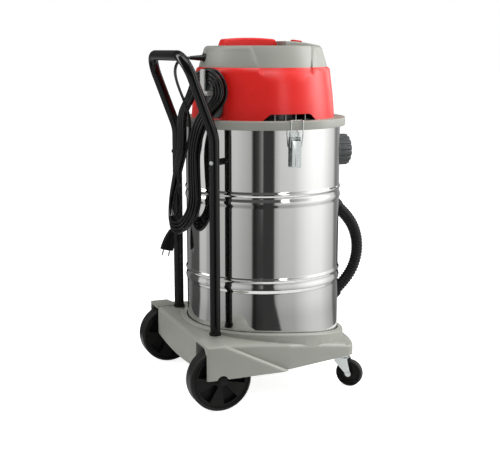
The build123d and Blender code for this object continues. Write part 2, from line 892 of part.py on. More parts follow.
def recess_flank(hand):
    """Plane of a panel's bevelled end, rear (1) or front (-1), through its edges on the floor and the surface."""
    inner = []
    outer = []
    for radius, half, z in (
        (cover_top_radius, recess_low_half, cover_top),
        (top_edge_radius, recess_top_half, top_edge_z),
    ):
        near = half - recess_bevel
        inner.append(Vector(math.sqrt((radius - recess_depth) ** 2 - near**2), drum_y + hand * near, z))
        outer.append(Vector(math.sqrt(radius**2 - half**2), drum_y + hand * half, z))
    edge = (inner[1] - inner[0]).normalized()
    normal = (outer[0] - inner[0]).cross(edge) * hand
    return Plane(origin=inner[0], x_dir=edge.cross(normal) * hand, z_dir=normal)


with BuildPart() as recess:
    revolve(recess_band(recess_depth, recess_angle, recess_foot), axis=drum_axis, revolution_arc=recess_angle)
    for hand in (-1, 1):
        with BuildSketch(recess_flank(hand)):
            Rectangle(cover_height, 4 * cover_height, align=(Align.MIN, Align.CENTER))
        extrude(amount=-cover_height / 2, mode=Mode.SUBTRACT)
    add(mirror(recess.part, Plane.YZ, mode=Mode.PRIVATE))

# The walls behind the panels keep their thickness
back_angle = recess_angle + 2 * math.degrees(cover_wall / top_edge_radius)
with BuildPart() as recess_back:
    revolve(
        recess_band(recess_depth + cover_wall, back_angle, recess_foot - cover_wall),
        axis=drum_axis,
        revolution_arc=back_angle,
    )
    add(mirror(recess_back.part, Plane.YZ, mode=Mode.PRIVATE))

with BuildPart() as cover_hollow:
    revolve(cover_section(-cover_wall, upright), axis=drum_axis)
    add(recess_back.part, mode=Mode.SUBTRACT)

with BuildPart() as top_hollow:
    revolve(top_section(-top_wall, upright), axis=drum_axis)
    add(recess_back.part, mode=Mode.SUBTRACT)

with BuildPart() as head_rim:
    with BuildSketch(upright) as rim_section:
        with BuildLine():
            Polyline(
                (rim_opening, rim_top - rim_plate),
                (rim_radius - rim_wall, rim_top - rim_plate),
                (rim_radius - rim_wall, rim_bottom),
                (rim_radius, rim_bottom),
                (rim_radius, rim_top),
                (rim_opening, rim_top),
                close=True,
            )
        make_face()
        fillet(rim_section.vertices().sort_by(Axis.X)[-1:] + rim_section.vertices().sort_by(Axis.X)[-2:-1], rim_wall * 0.6)
    revolve(axis=drum_axis)
save(head_rim.part, "head_rim")

with BuildPart() as motor_plate:
    with BuildSketch(level(rim_top - rim_plate - plate_thickness)):
        Circle(motor_plate_radius)
        with Locations((-motor_x, 0), (motor_x, 0)):
            Circle(intake_radius, mode=Mode.SUBTRACT)
    extrude(amount=plate_thickness)
save(motor_plate.part, "motor_plate")

with BuildPart() as motor_cover:
    revolve(cover_section(0, upright), axis=drum_axis)
    add(cover_hollow.part, mode=Mode.SUBTRACT)
    add(recess.part, mode=Mode.SUBTRACT)
    with BuildSketch(across(-cover_foot_radius - 1)) as vent:
        with BuildLine():
            Polyline(
                (-vent_half, rim_top),
                (-vent_top_half, rim_top + vent_height),
                (vent_top_half, rim_top + vent_height),
                (vent_half, rim_top),
                close=True,
            )
        make_face()
        fillet(vent.vertices().sort_by(Axis.Y)[-2:], vent_round)
    extrude(amount=2 * cover_foot_radius + 2, mode=Mode.SUBTRACT)
print("cover", motor_cover.part.volume, motor_cover.part.is_valid, len(motor_cover.solids()))
save(motor_cover.part, "motor_cover")

with BuildPart() as vent_grilles:
    for middle in (0, 180):
        with BuildSketch(level(rim_top)):
            with PolarLocations(
                cover_foot_radius - cover_wall - 6,
                vent_ribs,
                start_angle=middle - vent_spread / 2,
                angular_range=vent_spread,
                endpoint=True,
            ):
                Rectangle(9, vent_rib_width)
        extrude(amount=vent_height + 3)
        with BuildSketch(turned_plane(middle - 20)):
            with Locations((cover_foot_radius - cover_wall - 9, rim_top + 1.5)):
                Rectangle(4, 3)
        revolve(axis=drum_axis, revolution_arc=40)
        with BuildSketch(turned_plane(middle - 20)):
            with Locations((cover_foot_radius - cover_wall - 9, rim_top + vent_height + 4)):
                Rectangle(4, 4)
        revolve(axis=drum_axis, revolution_arc=40)
save(vent_grilles.part, "vent_grilles")
print("grilles", len(vent_grilles.solids()))

# Grey top with its finger well, console and switch
def console_crown():
    """Side view of the console's crown, y first and z second."""
    return ThreePointArc(
        (console_front_y, console_low),
        ((console_front_y + console_rear_y) / 2, console_mid),
        (console_rear_y, console_high),
        mode=Mode.PRIVATE,
    )


def console_plane(lift):
    """Plane on the console's slope at the switch: its own y runs down the slope to the front."""
    crown = console_crown()
    spot = crown @ switch_share
    way = crown % switch_share
    normal = Vector(0, -way.Y, way.X)
    return Plane(
        origin=Vector(0, drum_y + spot.X, spot.Y) + normal * (lift - switch_seat),
        x_dir=(-1, 0, 0),
        z_dir=normal,
    )


with BuildPart() as console:
    with BuildSketch(across(-console_half)):
        with BuildLine():
            crown = ThreePointArc(
                (console_front_y, console_low),
                ((console_front_y + console_rear_y) / 2, console_mid),
                (console_rear_y, console_high),
            )
            Polyline(crown @ 1, (console_rear_y, console_low - 0.5), (console_front_y, console_low - 0.5), crown @ 0)
        make_face()
    extrude(amount=2 * console_half)
    with BuildSketch(level(console_low - 1)):
        Circle(console_reach)
    extrude(amount=2 * console_half, mode=Mode.INTERSECT)
    crown_face = console.faces().filter_by(GeomType.CYLINDER).sort_by(Axis.Z)[-1]
    fillet([e for e in crown_face.edges() if abs(e.center().X) > console_half / 2], console_round)

with BuildPart() as top_cover:
    revolve(top_section(0, upright), axis=drum_axis)
    add(console.part)
    add(top_hollow.part, mode=Mode.SUBTRACT)
    with BuildSketch(level(finger_floor - top_wall)):
        with Locations((0, (finger_front_y + finger_rear_y) / 2)):
            RectangleRounded(2 * (finger_half + top_wall), finger_rear_y - finger_front_y + 2 * top_wall, 14)
    extrude(amount=finger_depth)
    add(recess.part, mode=Mode.SUBTRACT)
    with BuildSketch(level(finger_floor)):
        with Locations((0, (finger_front_y + finger_rear_y) / 2)):
            RectangleRounded(2 * finger_half, finger_rear_y - finger_front_y, 10)
    extrude(amount=2 * finger_depth, mode=Mode.SUBTRACT)
    with BuildSketch(console_plane(-switch_well - 3)):
        Rectangle(switch_width + 2 * bezel_width + 2, switch_length + 2 * bezel_width + 2)
    extrude(amount=switch_well)
    with BuildSketch(console_plane(-switch_well)):
        Rectangle(switch_width + 2 * gap, switch_length + 6 * gap)
    extrude(amount=2 * switch_well, mode=Mode.SUBTRACT)
    with BuildSketch(console_plane(0)):
        RectangleRounded(switch_width + 2 * bezel_width + gap, switch_length + 2 * bezel_width + gap, 2)
    extrude(amount=switch_well, mode=Mode.SUBTRACT)
print("top", top_cover.part.volume, top_cover.part.is_valid, len(top_cover.solids()))
save(top_cover.part, "top_cover")

with BuildPart() as switch_bezel:
    with BuildSketch(console_plane(0)):
        RectangleRounded(switch_width + 2 * bezel_width, switch_length + 2 * bezel_width, 2)
        Rectangle(switch_width + 2 * gap, switch_length + 6 * gap, mode=Mode.SUBTRACT)
    extrude(amount=bezel_height)
save(switch_bezel.part, "switch_bezel")

with BuildPart() as rocker_switch:
    with BuildSketch(console_plane(0)):
        Rectangle(switch_width, switch_length)
    extrude(amount=switch_proud)
    with BuildSketch(console_plane(-switch_well / 2)):
        Rectangle(switch_width, switch_length * 0.7)
    extrude(amount=switch_well / 2)
    fillet(rocker_switch.faces().sort_by(Axis.Z)[-1].edges(), 1.6)
save(rocker_switch.part, "rocker_switch")

with BuildPart() as carry_handle:
    with BuildSketch(across(-grip_half)) as grip:
        front_y = console_rear_y + grip_gap
        rear_y = finger_rear_y - 3
        with BuildLine():
            crown = ThreePointArc(
                (front_y + 6, grip_high - 4), ((front_y + rear_y) / 2, grip_high), (rear_y - 6, grip_high - 4)
            )
            Polyline(
                crown @ 1,
                (rear_y, grip_low + 4),
                (rear_y, finger_floor),
                (rear_y - grip_foot, finger_floor),
                (rear_y - grip_foot, grip_low),
                (front_y + grip_foot, grip_low),
                (front_y + grip_foot, finger_floor),
                (front_y, finger_floor),
                (front_y, grip_low + 4),
                crown @ 0,
            )
        make_face()
    extrude(amount=2 * grip_half)
    long_edges = carry_handle.faces().filter_by(GeomType.CYLINDER).sort_by(Axis.Z)[-1].edges()
    fillet(long_edges, 6)
print("grip", carry_handle.part.is_valid)
save(carry_handle.part, "carry_handle")

# Cord holder, strain relief and plug
with BuildPart() as cover_room:
    revolve(cover_section(slip, upright), axis=drum_axis)

with BuildPart() as saddle_form:
    revolve(cover_section(holder_wall + slip, upright), axis=drum_axis)

holder_middle = 90 + holder_turn
holder_out = Vector(math.cos(math.radians(holder_middle)), math.sin(math.radians(holder_middle)), 0)
holder_face = Plane(origin=(0, drum_y, 0), x_dir=Vector(0, 0, 1).cross(holder_out), z_dir=holder_out)

with BuildPart() as cord_saddle:
    with BuildSketch(holder_face):
        with Locations((0, (holder_low + holder_high) / 2)):
            RectangleRounded(
                2 * cover_foot_radius * math.sin(math.radians(holder_angle / 2)),
                holder_high - holder_low,
                holder_round,
            )
    extrude(amount=2 * cover_foot_radius)
    revolve(cover_section(holder_wall, upright), axis=drum_axis, mode=Mode.INTERSECT)
    add(cover_room.part, mode=Mode.SUBTRACT)
print("saddle", cord_saddle.part.is_valid, len(cord_saddle.solids()))
save(cord_saddle.part, "cord_saddle")

with BuildPart() as cord_hook:
    with BuildSketch(turned_plane(holder_middle)):
        with BuildLine():
            Polyline(
                (cover_top_radius - 20, hook_top),
                (cover_top_radius - 20, hook_top - hook_depth),
                (prong_front, hook_top - hook_depth),
                (prong_front + prong_depth, hook_top - hook_depth / 2),
                (prong_front + prong_depth, hook_top),
                close=True,
            )
        make_face()
    extrude(amount=hook_half, both=True)
    with BuildSketch(turned_plane(holder_middle)):
        with Locations((prong_front, hook_top - hook_depth / 2)):
            Rectangle(prong_depth, prong_top - hook_top + hook_depth / 2, align=Align.MIN)
    extrude(amount=prong_half, both=True)
    add(saddle_form.part, mode=Mode.SUBTRACT)
    fillet(cord_hook.edges().group_by(Axis.Z)[-1], 1.5)
print("hook", cord_hook.part.is_valid, len(cord_hook.solids()))
save(cord_hook.part, "cord_hook")

with BuildPart() as top_room:
    revolve(top_section(slip, upright), axis=drum_axis)

with BuildPart() as strain_relief:
    relief_plane = Plane(origin=(0, drum_y + top_mid_radius - 8, relief_z), x_dir=(1, 0, 0), z_dir=(0, 1, 0))
    with BuildSketch(relief_plane):
        Circle(relief_root)
    with BuildSketch(relief_plane.offset(relief_length + 8)):
        Circle(relief_tip)
    loft()
    with BuildSketch(relief_plane):
        Circle(relief_flange)
    extrude(amount=12)
    add(top_room.part, mode=Mode.SUBTRACT)
save(strain_relief.part, "strain_relief")

with BuildPart() as plug_body:
    plug_plane = Plane(origin=(plug_x, drum_y + plug_y, plug_top), x_dir=(1, 0, 0), z_dir=plug_lean)
    with BuildSketch(plug_plane):
        Circle(plug_neck)
    with BuildSketch(plug_plane.offset(plug_length * 0.55)):
        Ellipse(plug_thick + 1, plug_half - 3)
    with BuildSketch(plug_plane.offset(plug_length)):
        Ellipse(plug_thick, plug_half)
    loft()
print("plug", plug_body.part.is_valid, plug_body.part.volume)
save(plug_body.part, "plug_body")

with BuildPart() as plug_pins:
    with BuildSketch(plug_plane.offset(plug_length)):
        with Locations((0, -pin_pitch / 2), (0, pin_pitch / 2)):
            Circle(pin_radius)
    extrude(amount=pin_length)
    fillet(plug_pins.faces().sort_by(Axis.Z)[:2].edges(), pin_radius * 0.6)
save(plug_pins.part, "plug_pins")


# Cord: a lead, a hank over the hooks and a tail to the plug
def cord_tube(points, name):
    """One unbroken tube along straight runs and arcs, each arc as large as its runs allow."""
    radii = []
    for before, here, after in zip(points, points[1:], points[2:]):
        first = here - before
        second = after - here
        turn = math.radians(first.get_angle(second))
        radii.append(0.45 * min(first.length, second.length) / math.tan(turn / 2))
    with BuildPart() as tube:
        with BuildLine() as path:
            FilletPolyline(points, radius=radii)
        wire = path.wires()[0]
        with BuildSketch(Plane(origin=wire @ 0, z_dir=wire % 0)) as section:
            RegularPolygon(cord_radius, cord_sides)
        sweep(path=wire)
    expected = section.sketch.area * wire.length
    print(name, "length", round(wire.length), "least radius", round(min(radii), 1),
          "volume ratio", round(tube.part.volume / expected, 4), tube.part.is_valid)
    save(tube.part, name)
    return wire


# Each station: place along X, height over the rim, reach past the drum, spread along X and Z, rise of a layer
# and turn about the drum's axis
hank_stations = [
    (10, -71, 23, 1.1, 0, 0, 12),
    (36, -161, 28, 1.1, 0, 0, 7),
    (66, -236, 38, 1.1, -0.2, 0, 2),
    (30, -283, 42, 0.45, -1.05, 0, 0),
    (-30, -283, 36, -0.45, -1.05, 0, 0),
    (-66, -236, 30, -1.1, -0.2, 0, 2),
    (-36, -161, 25, -1, 0, 0, 7),
    (-10, -71, 23, -1, 0, 0, 12),
    (-27, 11, 32, -1.1, -0.1, 0.3, 18),
    (-44, 56, -4, -1.1, 0.1, 0.3, 22),
    (-26, 100, -13, -0.6, 1, 0.15, 22),
    (26, 100, -13, 0.6, 1, 0.15, 22),
    (44, 56, -4, 1.1, 0.1, 0.3, 22),
    (27, 11, 32, 1.1, -0.1, 0.3, 18),
]


def turned(x, y, z, angle):
    """Point turned about the drum's axis, from the rear towards -X."""
    turn = math.radians(angle)
    return Vector(x * math.cos(turn) - y * math.sin(turn), drum_y + x * math.sin(turn) + y * math.cos(turn), z)


def hank_point(index):
    """Point of the hank: it spirals out in the inner layer and back in the outer one."""
    count = len(hank_stations)
    x, height, reach, spread_x, spread_z, rise, angle = hank_stations[index % count]
    turn = index / count
    spread = hank_step * (hank_turns - abs(turn - hank_turns))
    climb = hank_layer * min(max((turn - hank_turns) * 2 + 0.5, 0), 1)
    x += spread_x * spread
    y = drum_radius + reach + climb - hank_bow * x * x
    return turned(x, y, rim_top + height + spread_z * spread + climb * rise, angle)


hank_points = [hank_point(index) for index in range(2 * hank_turns * len(hank_stations) + 2)]
hank_points[-1] = (hank_points[-2] + hank_points[-1]) * 0.5
lead_way = (hank_points[0] - hank_points[1]).normalized()
tail_way = (hank_points[-1] - hank_points[-2]).normalized()

# Each stop of the lead: turn about the drum's axis, reach past the drum and height over the rim
lead_stops = [
    (1, 39, 143),
    (3, 45, 125),
    (6.5, 47, 103),
    (10.5, 47, 79),
    (14.5, 46, 54),
    (17.5, 43, 29),
    (17.5, 37, 1),
]
lead_points = [
    Vector(0, drum_y + relief_end, relief_z),
    Vector(0, drum_y + relief_end + 18, relief_z),
    Vector(0, drum_y + relief_end + 33, relief_z - 7),
]
lead_points += [turned(0, drum_radius + reach, rim_top + height, angle) for angle, reach, height in lead_stops]
lead_points += [hank_points[0] + lead_way * 34, hank_points[0]]
plug_way = Vector(plug_lean).normalized()
plug_spot = Vector(plug_x, drum_y + plug_y, plug_top)

# Each stop of the tail: place along X, reach past the drum and height over the rim
tail_stops = [
    (20, 28, -199),
    (46, 16, -236),
    (66, 11, -272),
]
tail_points = [hank_points[-1], hank_points[-1] + tail_way * 34]
tail_points += [Vector(x, drum_y + drum_radius + reach, rim_top + height) for x, reach, height in tail_stops]
tail_points += [plug_spot - plug_way * 20, plug_spot]
lead_wire = cord_tube(lead_points, "power_cord_lead")
hank_wire = cord_tube(hank_points, "power_cord_hank")
tail_wire = cord_tube(tail_points, "power_cord_tail")


def least_gap(wire, step):
    """Least distance between stretches of a wire that lie more than a few diameters apart along it."""
    count = int(wire.length / step)
    spots = [wire @ (index / count) for index in range(count + 1)]
    skip = int(8 * cord_radius / step) + 1
    return min(
        (spots[first] - spots[second]).length
        for first in range(0, count + 1)
        for second in range(first + skip, count + 1)
        if abs(spots[first].Z - spots[second].Z) < 12 and abs(spots[first].X - spots[second].X) < 12
    )


print("hank gap", round(least_gap(hank_wire, 5) - 2 * cord_radius, 2))

# Suction inlet and its hood inside the drum
with BuildPart() as inlet_port:
    with BuildSketch(facing_front(-drum_radius + 12)):
        with Locations((0, inlet_z)):
            Circle(flange_radius)
    extrude(amount=flange_depth + 12)
    fillet(inlet_port.faces().sort_by(Axis.Y)[0].edges(), flange_depth * 0.6)
    with BuildSketch(facing_front(-drum_radius)):
        with Locations((0, inlet_z)):
            Circle(inlet_radius)
            with PolarLocations(inlet_radius + inlet_lobe_radius * 0.45, inlet_lobes):
                Circle(inlet_lobe_radius, mode=Mode.SUBTRACT)
    extrude(amount=-inlet_end - drum_radius)
    add(drum_room.part, mode=Mode.SUBTRACT)
    with BuildSketch(facing_front(-drum_radius + 20)):
        with Locations((0, inlet_z)):
            Circle(spigot_radius)
    extrude(amount=26)
    with BuildSketch(facing_front(inlet_end)):
        with Locations((0, inlet_z)):
            Circle(inlet_bore)
    extrude(amount=-inlet_depth, mode=Mode.SUBTRACT)
    with BuildSketch(facing_front(inlet_end)):
        with Locations((0, inlet_z)):
            Circle(inlet_stop_bore)
    extrude(amount=inlet_end, mode=Mode.SUBTRACT)
print("inlet", inlet_port.part.is_valid, len(inlet_port.solids()))
save(inlet_port.part, "inlet_port")

with BuildPart() as inlet_deflector:
    with BuildSketch(facing_front(-drum_radius + 5)):
        with Locations((0, inlet_z)):
            Circle(spigot_radius + slip + hood_wall)
    extrude(amount=-hood_length)
    with BuildSketch(facing_front(-drum_radius + 5)):
        with Locations((0, inlet_z)):
            Circle(spigot_radius + slip)
    extrude(amount=hood_wall - hood_length, mode=Mode.SUBTRACT)
    with BuildSketch(across(0)):
        with Locations((-drum_radius + 5 + hood_length * 0.68, inlet_z)):
            Rectangle(hood_length * 0.46, 1.5 * inlet_stop_bore)
    extrude(amount=2 * spigot_radius, mode=Mode.SUBTRACT)
print("hood", inlet_deflector.part.is_valid, len(inlet_deflector.solids()))
save(inlet_deflector.part, "inlet_deflector")

# Drain hose between its spigot and its holder
hose_arc = math.radians(2 * hose_half_angle) * hose_bend
hose_length = hose_arc + 2 * hose_straight


def hose_section(way):
    """Plane square to the hose at a distance along it from its lower end."""
    if way < hose_straight:
        return turned_back(hose_plane(-1, -way))
    if way > hose_length - hose_straight:
        return hose_plane(1, way - hose_length)
    angle = (way - hose_straight) / hose_bend - math.radians(hose_half_angle)
    spot = Vector(
        0,
        drum_y + hose_centre_y - hose_bend * math.cos(angle),
        hose_centre_z + hose_bend * math.sin(angle),
    )
    return Plane(origin=spot, x_dir=(1, 0, 0), z_dir=(0, math.sin(angle), math.cos(angle)))


def turned_back(plane):
    """The same plane facing the other way, with its x kept."""
    return Plane(origin=plane.origin, x_dir=plane.x_dir, z_dir=-plane.z_dir)


with BuildPart() as drain_hose:
    pitch = hose_length / hose_ribs
    for rib in range(hose_ribs):
        for share, radius in ((0, hose_root), (0.25, hose_root), (0.4, hose_radius), (0.85, hose_radius)):
            with BuildSketch(hose_section((rib + share) * pitch)):
                Circle(radius)
    with BuildSketch(hose_section(hose_length)):
        Circle(hose_root)
    loft(ruled=True)
    with BuildLine() as hose_way:
        lower = hose_plane(-1, 0).origin
        upper = hose_plane(1, 0).origin
        first = Line(lower, hose_plane(-1, -hose_straight).origin)
        bend = ThreePointArc(first @ 1, hose_section(hose_length / 2).origin, hose_plane(1, -hose_straight).origin)
        Line(bend @ 1, upper)
    with BuildSketch(hose_section(0)):
        Circle(hose_bore)
    sweep(path=hose_way.wires()[0], mode=Mode.SUBTRACT)
print("hose", drain_hose.part.is_valid, len(drain_hose.solids()), drain_hose.part.volume)
save(drain_hose.part, "drain_hose")

for name, side in (("drain_spigot", -1), ("hose_holder", 1)):
    with BuildPart() as stub:
        with BuildSketch(hose_plane(side, 0)):
            Circle(stub_radius)
        extrude(amount=stub_length + 40)
        with BuildSketch(facing_front(-drum_radius + 20)):
            with Locations((0, hose_plane(side, stub_length).origin.Z)):
                Circle(stub_collar)
        extrude(amount=25)
        add(drum_room.part, mode=Mode.SUBTRACT)
        if side < 0:
            with BuildSketch(hose_plane(side, 0)):
                Circle(hose_bore)
            extrude(amount=stub_length + 40, mode=Mode.SUBTRACT)
        keep = stub.solids().sort_by(Axis.Y)[0]
    print(name, stub.part.is_valid, len(stub.solids()))
    save(keep, name)


# Head latches: a plate with a hinge pin on the drum, a lever and a wire bail over the rim
def latch_plane(side, y):
    """Plane square to Y on one side of the drum: its own x runs out from the drum and its y up."""
    return Plane(origin=(0, drum_y + y, 0), x_dir=(side, 0, 0), z_dir=(0, -side, 0))


plate_back = drum_radius + gap
plate_front = plate_back + plate_sheet
lever_front = latch_hinge_x + 7
lever_back = lever_front - lever_sheet
pivot_x = latch_hinge_x + 0.5
pivot_z = latch_hinge_z - latch_arm
bail_x = rim_radius + bail_wire + 0.6
bail_z = rim_top + bail_wire + gap

for word, side in sides:
    with BuildPart() as latch_plate:
        with BuildSketch(latch_plane(side, 0)):
            with Locations(((plate_back + plate_front) / 2, (plate_bottom + plate_top) / 2)):
                Rectangle(plate_sheet, plate_top - plate_bottom)
        extrude(amount=plate_half, both=True)
        for y in (-ear_y, ear_y):
            with BuildSketch(latch_plane(side, y)):
                with Locations(((plate_front + latch_hinge_x) / 2, latch_hinge_z)):
                    Rectangle(latch_hinge_x - plate_front, 2 * ear_radius)
                with Locations((latch_hinge_x, latch_hinge_z)):
                    Circle(ear_radius)
            extrude(amount=1.5, both=True)
        with BuildSketch(latch_plane(side, 0)):
            with Locations((latch_hinge_x, latch_hinge_z)):
                Circle(latch_pin)
        extrude(amount=lever_half + 0.6, both=True)
        with BuildSketch(Plane(origin=(side * plate_front, drum_y, 0), x_dir=(0, side, 0), z_dir=(side, 0, 0))):
            with Locations((-8, plate_bottom + 9), (8, plate_bottom + 9)):
                Circle(3.2)
        extrude(amount=1.2)
    save(latch_plate.part, f"latch_plate_{word}")

    with BuildPart() as latch_lever:
        with BuildSketch(latch_plane(side, 0)):
            with Locations(((lever_back + lever_front) / 2, (lever_bottom + lever_top) / 2)):
                Rectangle(lever_sheet, lever_top - lever_bottom)
        extrude(amount=lever_half, both=True)
        fillet(latch_lever.edges().filter_by(Axis.X).group_by(Axis.Z)[0], 4)
        for y in (lever_half - flange_sheet / 2, flange_sheet / 2 - lever_half):
            with BuildSketch(latch_plane(side, y)):
                with BuildLine():
                    Polyline(
                        (lever_front, lever_bottom + 22),
                        (lever_front, lever_top),
                        (latch_hinge_x, latch_hinge_z + 4.5),
                        (latch_hinge_x - 3, latch_hinge_z - 3),
                        (pivot_x - 3, pivot_z - 3),
                        close=True,
                    )
                make_face()
                with Locations((latch_hinge_x, latch_hinge_z)):
                    Circle(4.5)
                with Locations((pivot_x, pivot_z)):
                    Circle(4)
                with Locations((latch_hinge_x, latch_hinge_z)):
                    Circle(latch_pin + running, mode=Mode.SUBTRACT)
                with Locations((pivot_x, pivot_z)):
                    Circle(bail_wire + running, mode=Mode.SUBTRACT)
            extrude(amount=flange_sheet / 2, both=True)
        with BuildSketch(latch_plane(side, 0)):
            with Locations((lever_front + 0.5, lever_bottom + 20)):
                Rectangle(1, 30)
        extrude(amount=3, both=True)
    print("lever", latch_lever.part.is_valid, len(latch_lever.solids()))
    save(latch_lever.part, f"latch_lever_{word}")

    with BuildPart() as latch_bail:
        corners = [
            Vector(side * pivot_x, drum_y - lever_half + flange_sheet + 1.5, pivot_z),
            Vector(side * pivot_x, drum_y - bail_half + 1, pivot_z),
            Vector(side * bail_x, drum_y - bail_half, pivot_z + 34),
            Vector(side * bail_x, drum_y - bail_half, bail_z),
            Vector(side * (bail_x - bail_reach), drum_y - bail_half, bail_z),
        ]
        corners += [Vector(corner.X, 2 * drum_y - corner.Y, corner.Z) for corner in reversed(corners)]
        with BuildLine() as bail_path:
            FilletPolyline(corners, radius=2.4)
        bail_way = bail_path.wires()[0]
        with BuildSketch(Plane(origin=bail_way @ 0, z_dir=bail_way % 0)):
            Circle(bail_wire)
        sweep(path=bail_way)
    print("bail", latch_bail.part.is_valid, latch_bail.part.volume / (math.pi * bail_wire**2 * bail_way.length))
    save(latch_bail.part, f"latch_bail_{word}")

# Two motors side by side, their rotors, the filter and the float
motor_floor = rim_top - rim_plate
motor_top = motor_floor + fan_height + motor_height
for word, side in sides:
    spin = Axis((side * motor_x, drum_y, 0), (0, 0, 1))
    motor_plane = Plane(origin=(side * motor_x, drum_y, 0), x_dir=(1, 0, 0), z_dir=(0, -1, 0))
    with BuildPart() as motor:
        with BuildSketch(motor_plane):
            with BuildLine():
                Polyline(
                    (intake_radius, motor_floor),
                    (fan_radius, motor_floor),
                    (fan_radius, motor_floor + fan_height),
                    (motor_radius, motor_floor + fan_height),
                    (motor_radius, motor_top),
                    (shaft_radius + running, motor_top),
                    (shaft_radius + running, motor_top - motor_shell),
                    (armature_radius + 1, motor_top - motor_shell),
                    (armature_radius + 1, motor_floor + fan_height),
                    (shaft_radius + running, motor_floor + fan_height),
                    (shaft_radius + running, motor_floor + fan_height - motor_shell),
                    (fan_chamber, motor_floor + fan_height - motor_shell),
                    (fan_chamber, motor_floor + motor_shell),
                    (intake_radius, motor_floor + motor_shell),
                    close=True,
                )
            make_face()
        revolve(axis=spin)
    save(motor.part, f"suction_motor_{word}")

    with BuildPart() as rotor:
        with BuildSketch(motor_plane):
            with BuildLine():
                Polyline(
                    (0, motor_floor + motor_shell + 3),
                    (impeller_radius, motor_floor + motor_shell + 3),
                    (impeller_radius, motor_floor + motor_shell + 22),
                    (shaft_radius, motor_floor + fan_height - motor_shell - 2),
                    (shaft_radius, motor_floor + fan_height + 4),
                    (armature_radius, motor_floor + fan_height + 4),
                    (armature_radius, motor_top - motor_shell - 3),
                    (shaft_radius, motor_top - motor_shell - 3),
                    (shaft_radius, motor_top + 3),
                    (cooling_radius, motor_top + 3),
                    (cooling_radius, motor_top + 5),
                    (shaft_radius + 4, motor_top + 5),
                    (shaft_radius + 4, motor_top + 3 + cooling_height),
                    (0, motor_top + 3 + cooling_height),
                    close=True,
                )
            make_face()
        revolve(axis=spin)
        with BuildSketch(Plane((side * motor_x, drum_y, motor_top + 4))):
            with PolarLocations(cooling_radius * 0.56, 9):
                Rectangle(cooling_radius * 0.8, 1.6)
        extrude(amount=cooling_height - 1)
    print("rotor", rotor.part.is_valid, len(rotor.solids()))
    save(rotor.part, f"motor_rotor_{word}")

cage_top = motor_floor - plate_thickness
cage_bottom = cage_top - cage_length
with BuildPart() as filter_cage:
    with BuildSketch(level(cage_bottom)):
        Circle(cage_radius)
    extrude(amount=cage_length)
    with BuildSketch(level(cage_bottom + cage_wall)):
        Circle(cage_radius - cage_wall)
    extrude(amount=cage_length, mode=Mode.SUBTRACT)
    with BuildSketch(level(cage_bottom + 14)):
        with PolarLocations(cage_radius, cage_bars):
            Rectangle(4 * cage_wall, 2 * math.pi * cage_radius / cage_bars * 0.68)
    extrude(amount=cage_length - 36, mode=Mode.SUBTRACT)
    with BuildSketch(level(cage_bottom - 10)):
        Circle(stem_boss)
    extrude(amount=26)
    with BuildSketch(level(cage_bottom - 10)):
        Circle(stem_radius + running)
    extrude(amount=26, mode=Mode.SUBTRACT)
print("cage", filter_cage.part.is_valid, len(filter_cage.solids()))
save(filter_cage.part, "filter_cage")

bag_inner = cage_radius + bag_gap
with BuildPart() as bag_inside:
    with BuildSketch(level(cage_top - bag_length + bag_wall)):
        Circle(bag_inner)
    extrude(amount=bag_length)
    fillet(bag_inside.faces().sort_by(Axis.Z)[0].edges(), bag_round - bag_wall)

with BuildPart() as filter_bag:
    with BuildSketch(level(cage_top - bag_length)):
        Circle(bag_inner + bag_wall)
    extrude(amount=bag_length)
    fillet(filter_bag.faces().sort_by(Axis.Z)[0].edges(), bag_round)
    add(bag_inside.part, mode=Mode.SUBTRACT)
print("bag", filter_bag.part.is_valid, len(filter_bag.solids()))
save(filter_bag.part, "filter_bag")

float_top = cage_top - float_lift - gap
with BuildPart() as float_valve:
    with BuildSketch(level(float_top - 3)):
        Circle(float_disc)
    extrude(amount=3)
    with BuildSketch(level(float_top - float_height)):
        Circle(float_radius)
    extrude(amount=float_height - 3)
    fillet(float_valve.faces().sort_by(Axis.Z)[0].edges(), 8)
    with BuildSketch(level(cage_bottom - 12)):
        Circle(stem_radius)
    extrude(amount=float_top - float_height - cage_bottom + 12)
print("float", float_valve.part.is_valid, len(float_valve.solids()))
save(float_valve.part, "float_valve")
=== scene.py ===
import json
import math

import bmesh
import bpy
import numpy as np
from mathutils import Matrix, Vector

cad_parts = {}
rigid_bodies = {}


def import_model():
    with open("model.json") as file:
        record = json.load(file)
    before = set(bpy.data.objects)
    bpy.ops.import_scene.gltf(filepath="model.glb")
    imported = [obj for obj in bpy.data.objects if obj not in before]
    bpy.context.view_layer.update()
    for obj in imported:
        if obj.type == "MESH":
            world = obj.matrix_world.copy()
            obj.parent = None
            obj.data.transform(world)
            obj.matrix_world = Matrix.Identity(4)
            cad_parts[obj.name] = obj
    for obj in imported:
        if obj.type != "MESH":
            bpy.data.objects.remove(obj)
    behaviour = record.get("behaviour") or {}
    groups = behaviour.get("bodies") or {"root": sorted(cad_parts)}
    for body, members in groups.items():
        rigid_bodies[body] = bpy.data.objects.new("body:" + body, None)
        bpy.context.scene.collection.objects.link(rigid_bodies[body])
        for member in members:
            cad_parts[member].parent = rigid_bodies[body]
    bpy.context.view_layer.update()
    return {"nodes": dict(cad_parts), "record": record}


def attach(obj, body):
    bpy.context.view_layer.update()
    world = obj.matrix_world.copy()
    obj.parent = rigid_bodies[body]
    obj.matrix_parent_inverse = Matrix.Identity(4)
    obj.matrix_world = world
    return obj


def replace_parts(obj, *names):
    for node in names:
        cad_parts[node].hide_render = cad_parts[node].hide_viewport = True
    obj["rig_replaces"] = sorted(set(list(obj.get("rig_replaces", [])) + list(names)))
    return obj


# Shop vacuum: a polished drum under a red motor head, on a grey trolley with a wound cord behind.
# Metres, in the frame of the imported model: +Z up, the inlet towards -Y, the push handle towards +Y.
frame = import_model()

# Sizes shared with the solids
drum_y = 0.011
drum_radius = 0.220
drum_wall = 0.0012
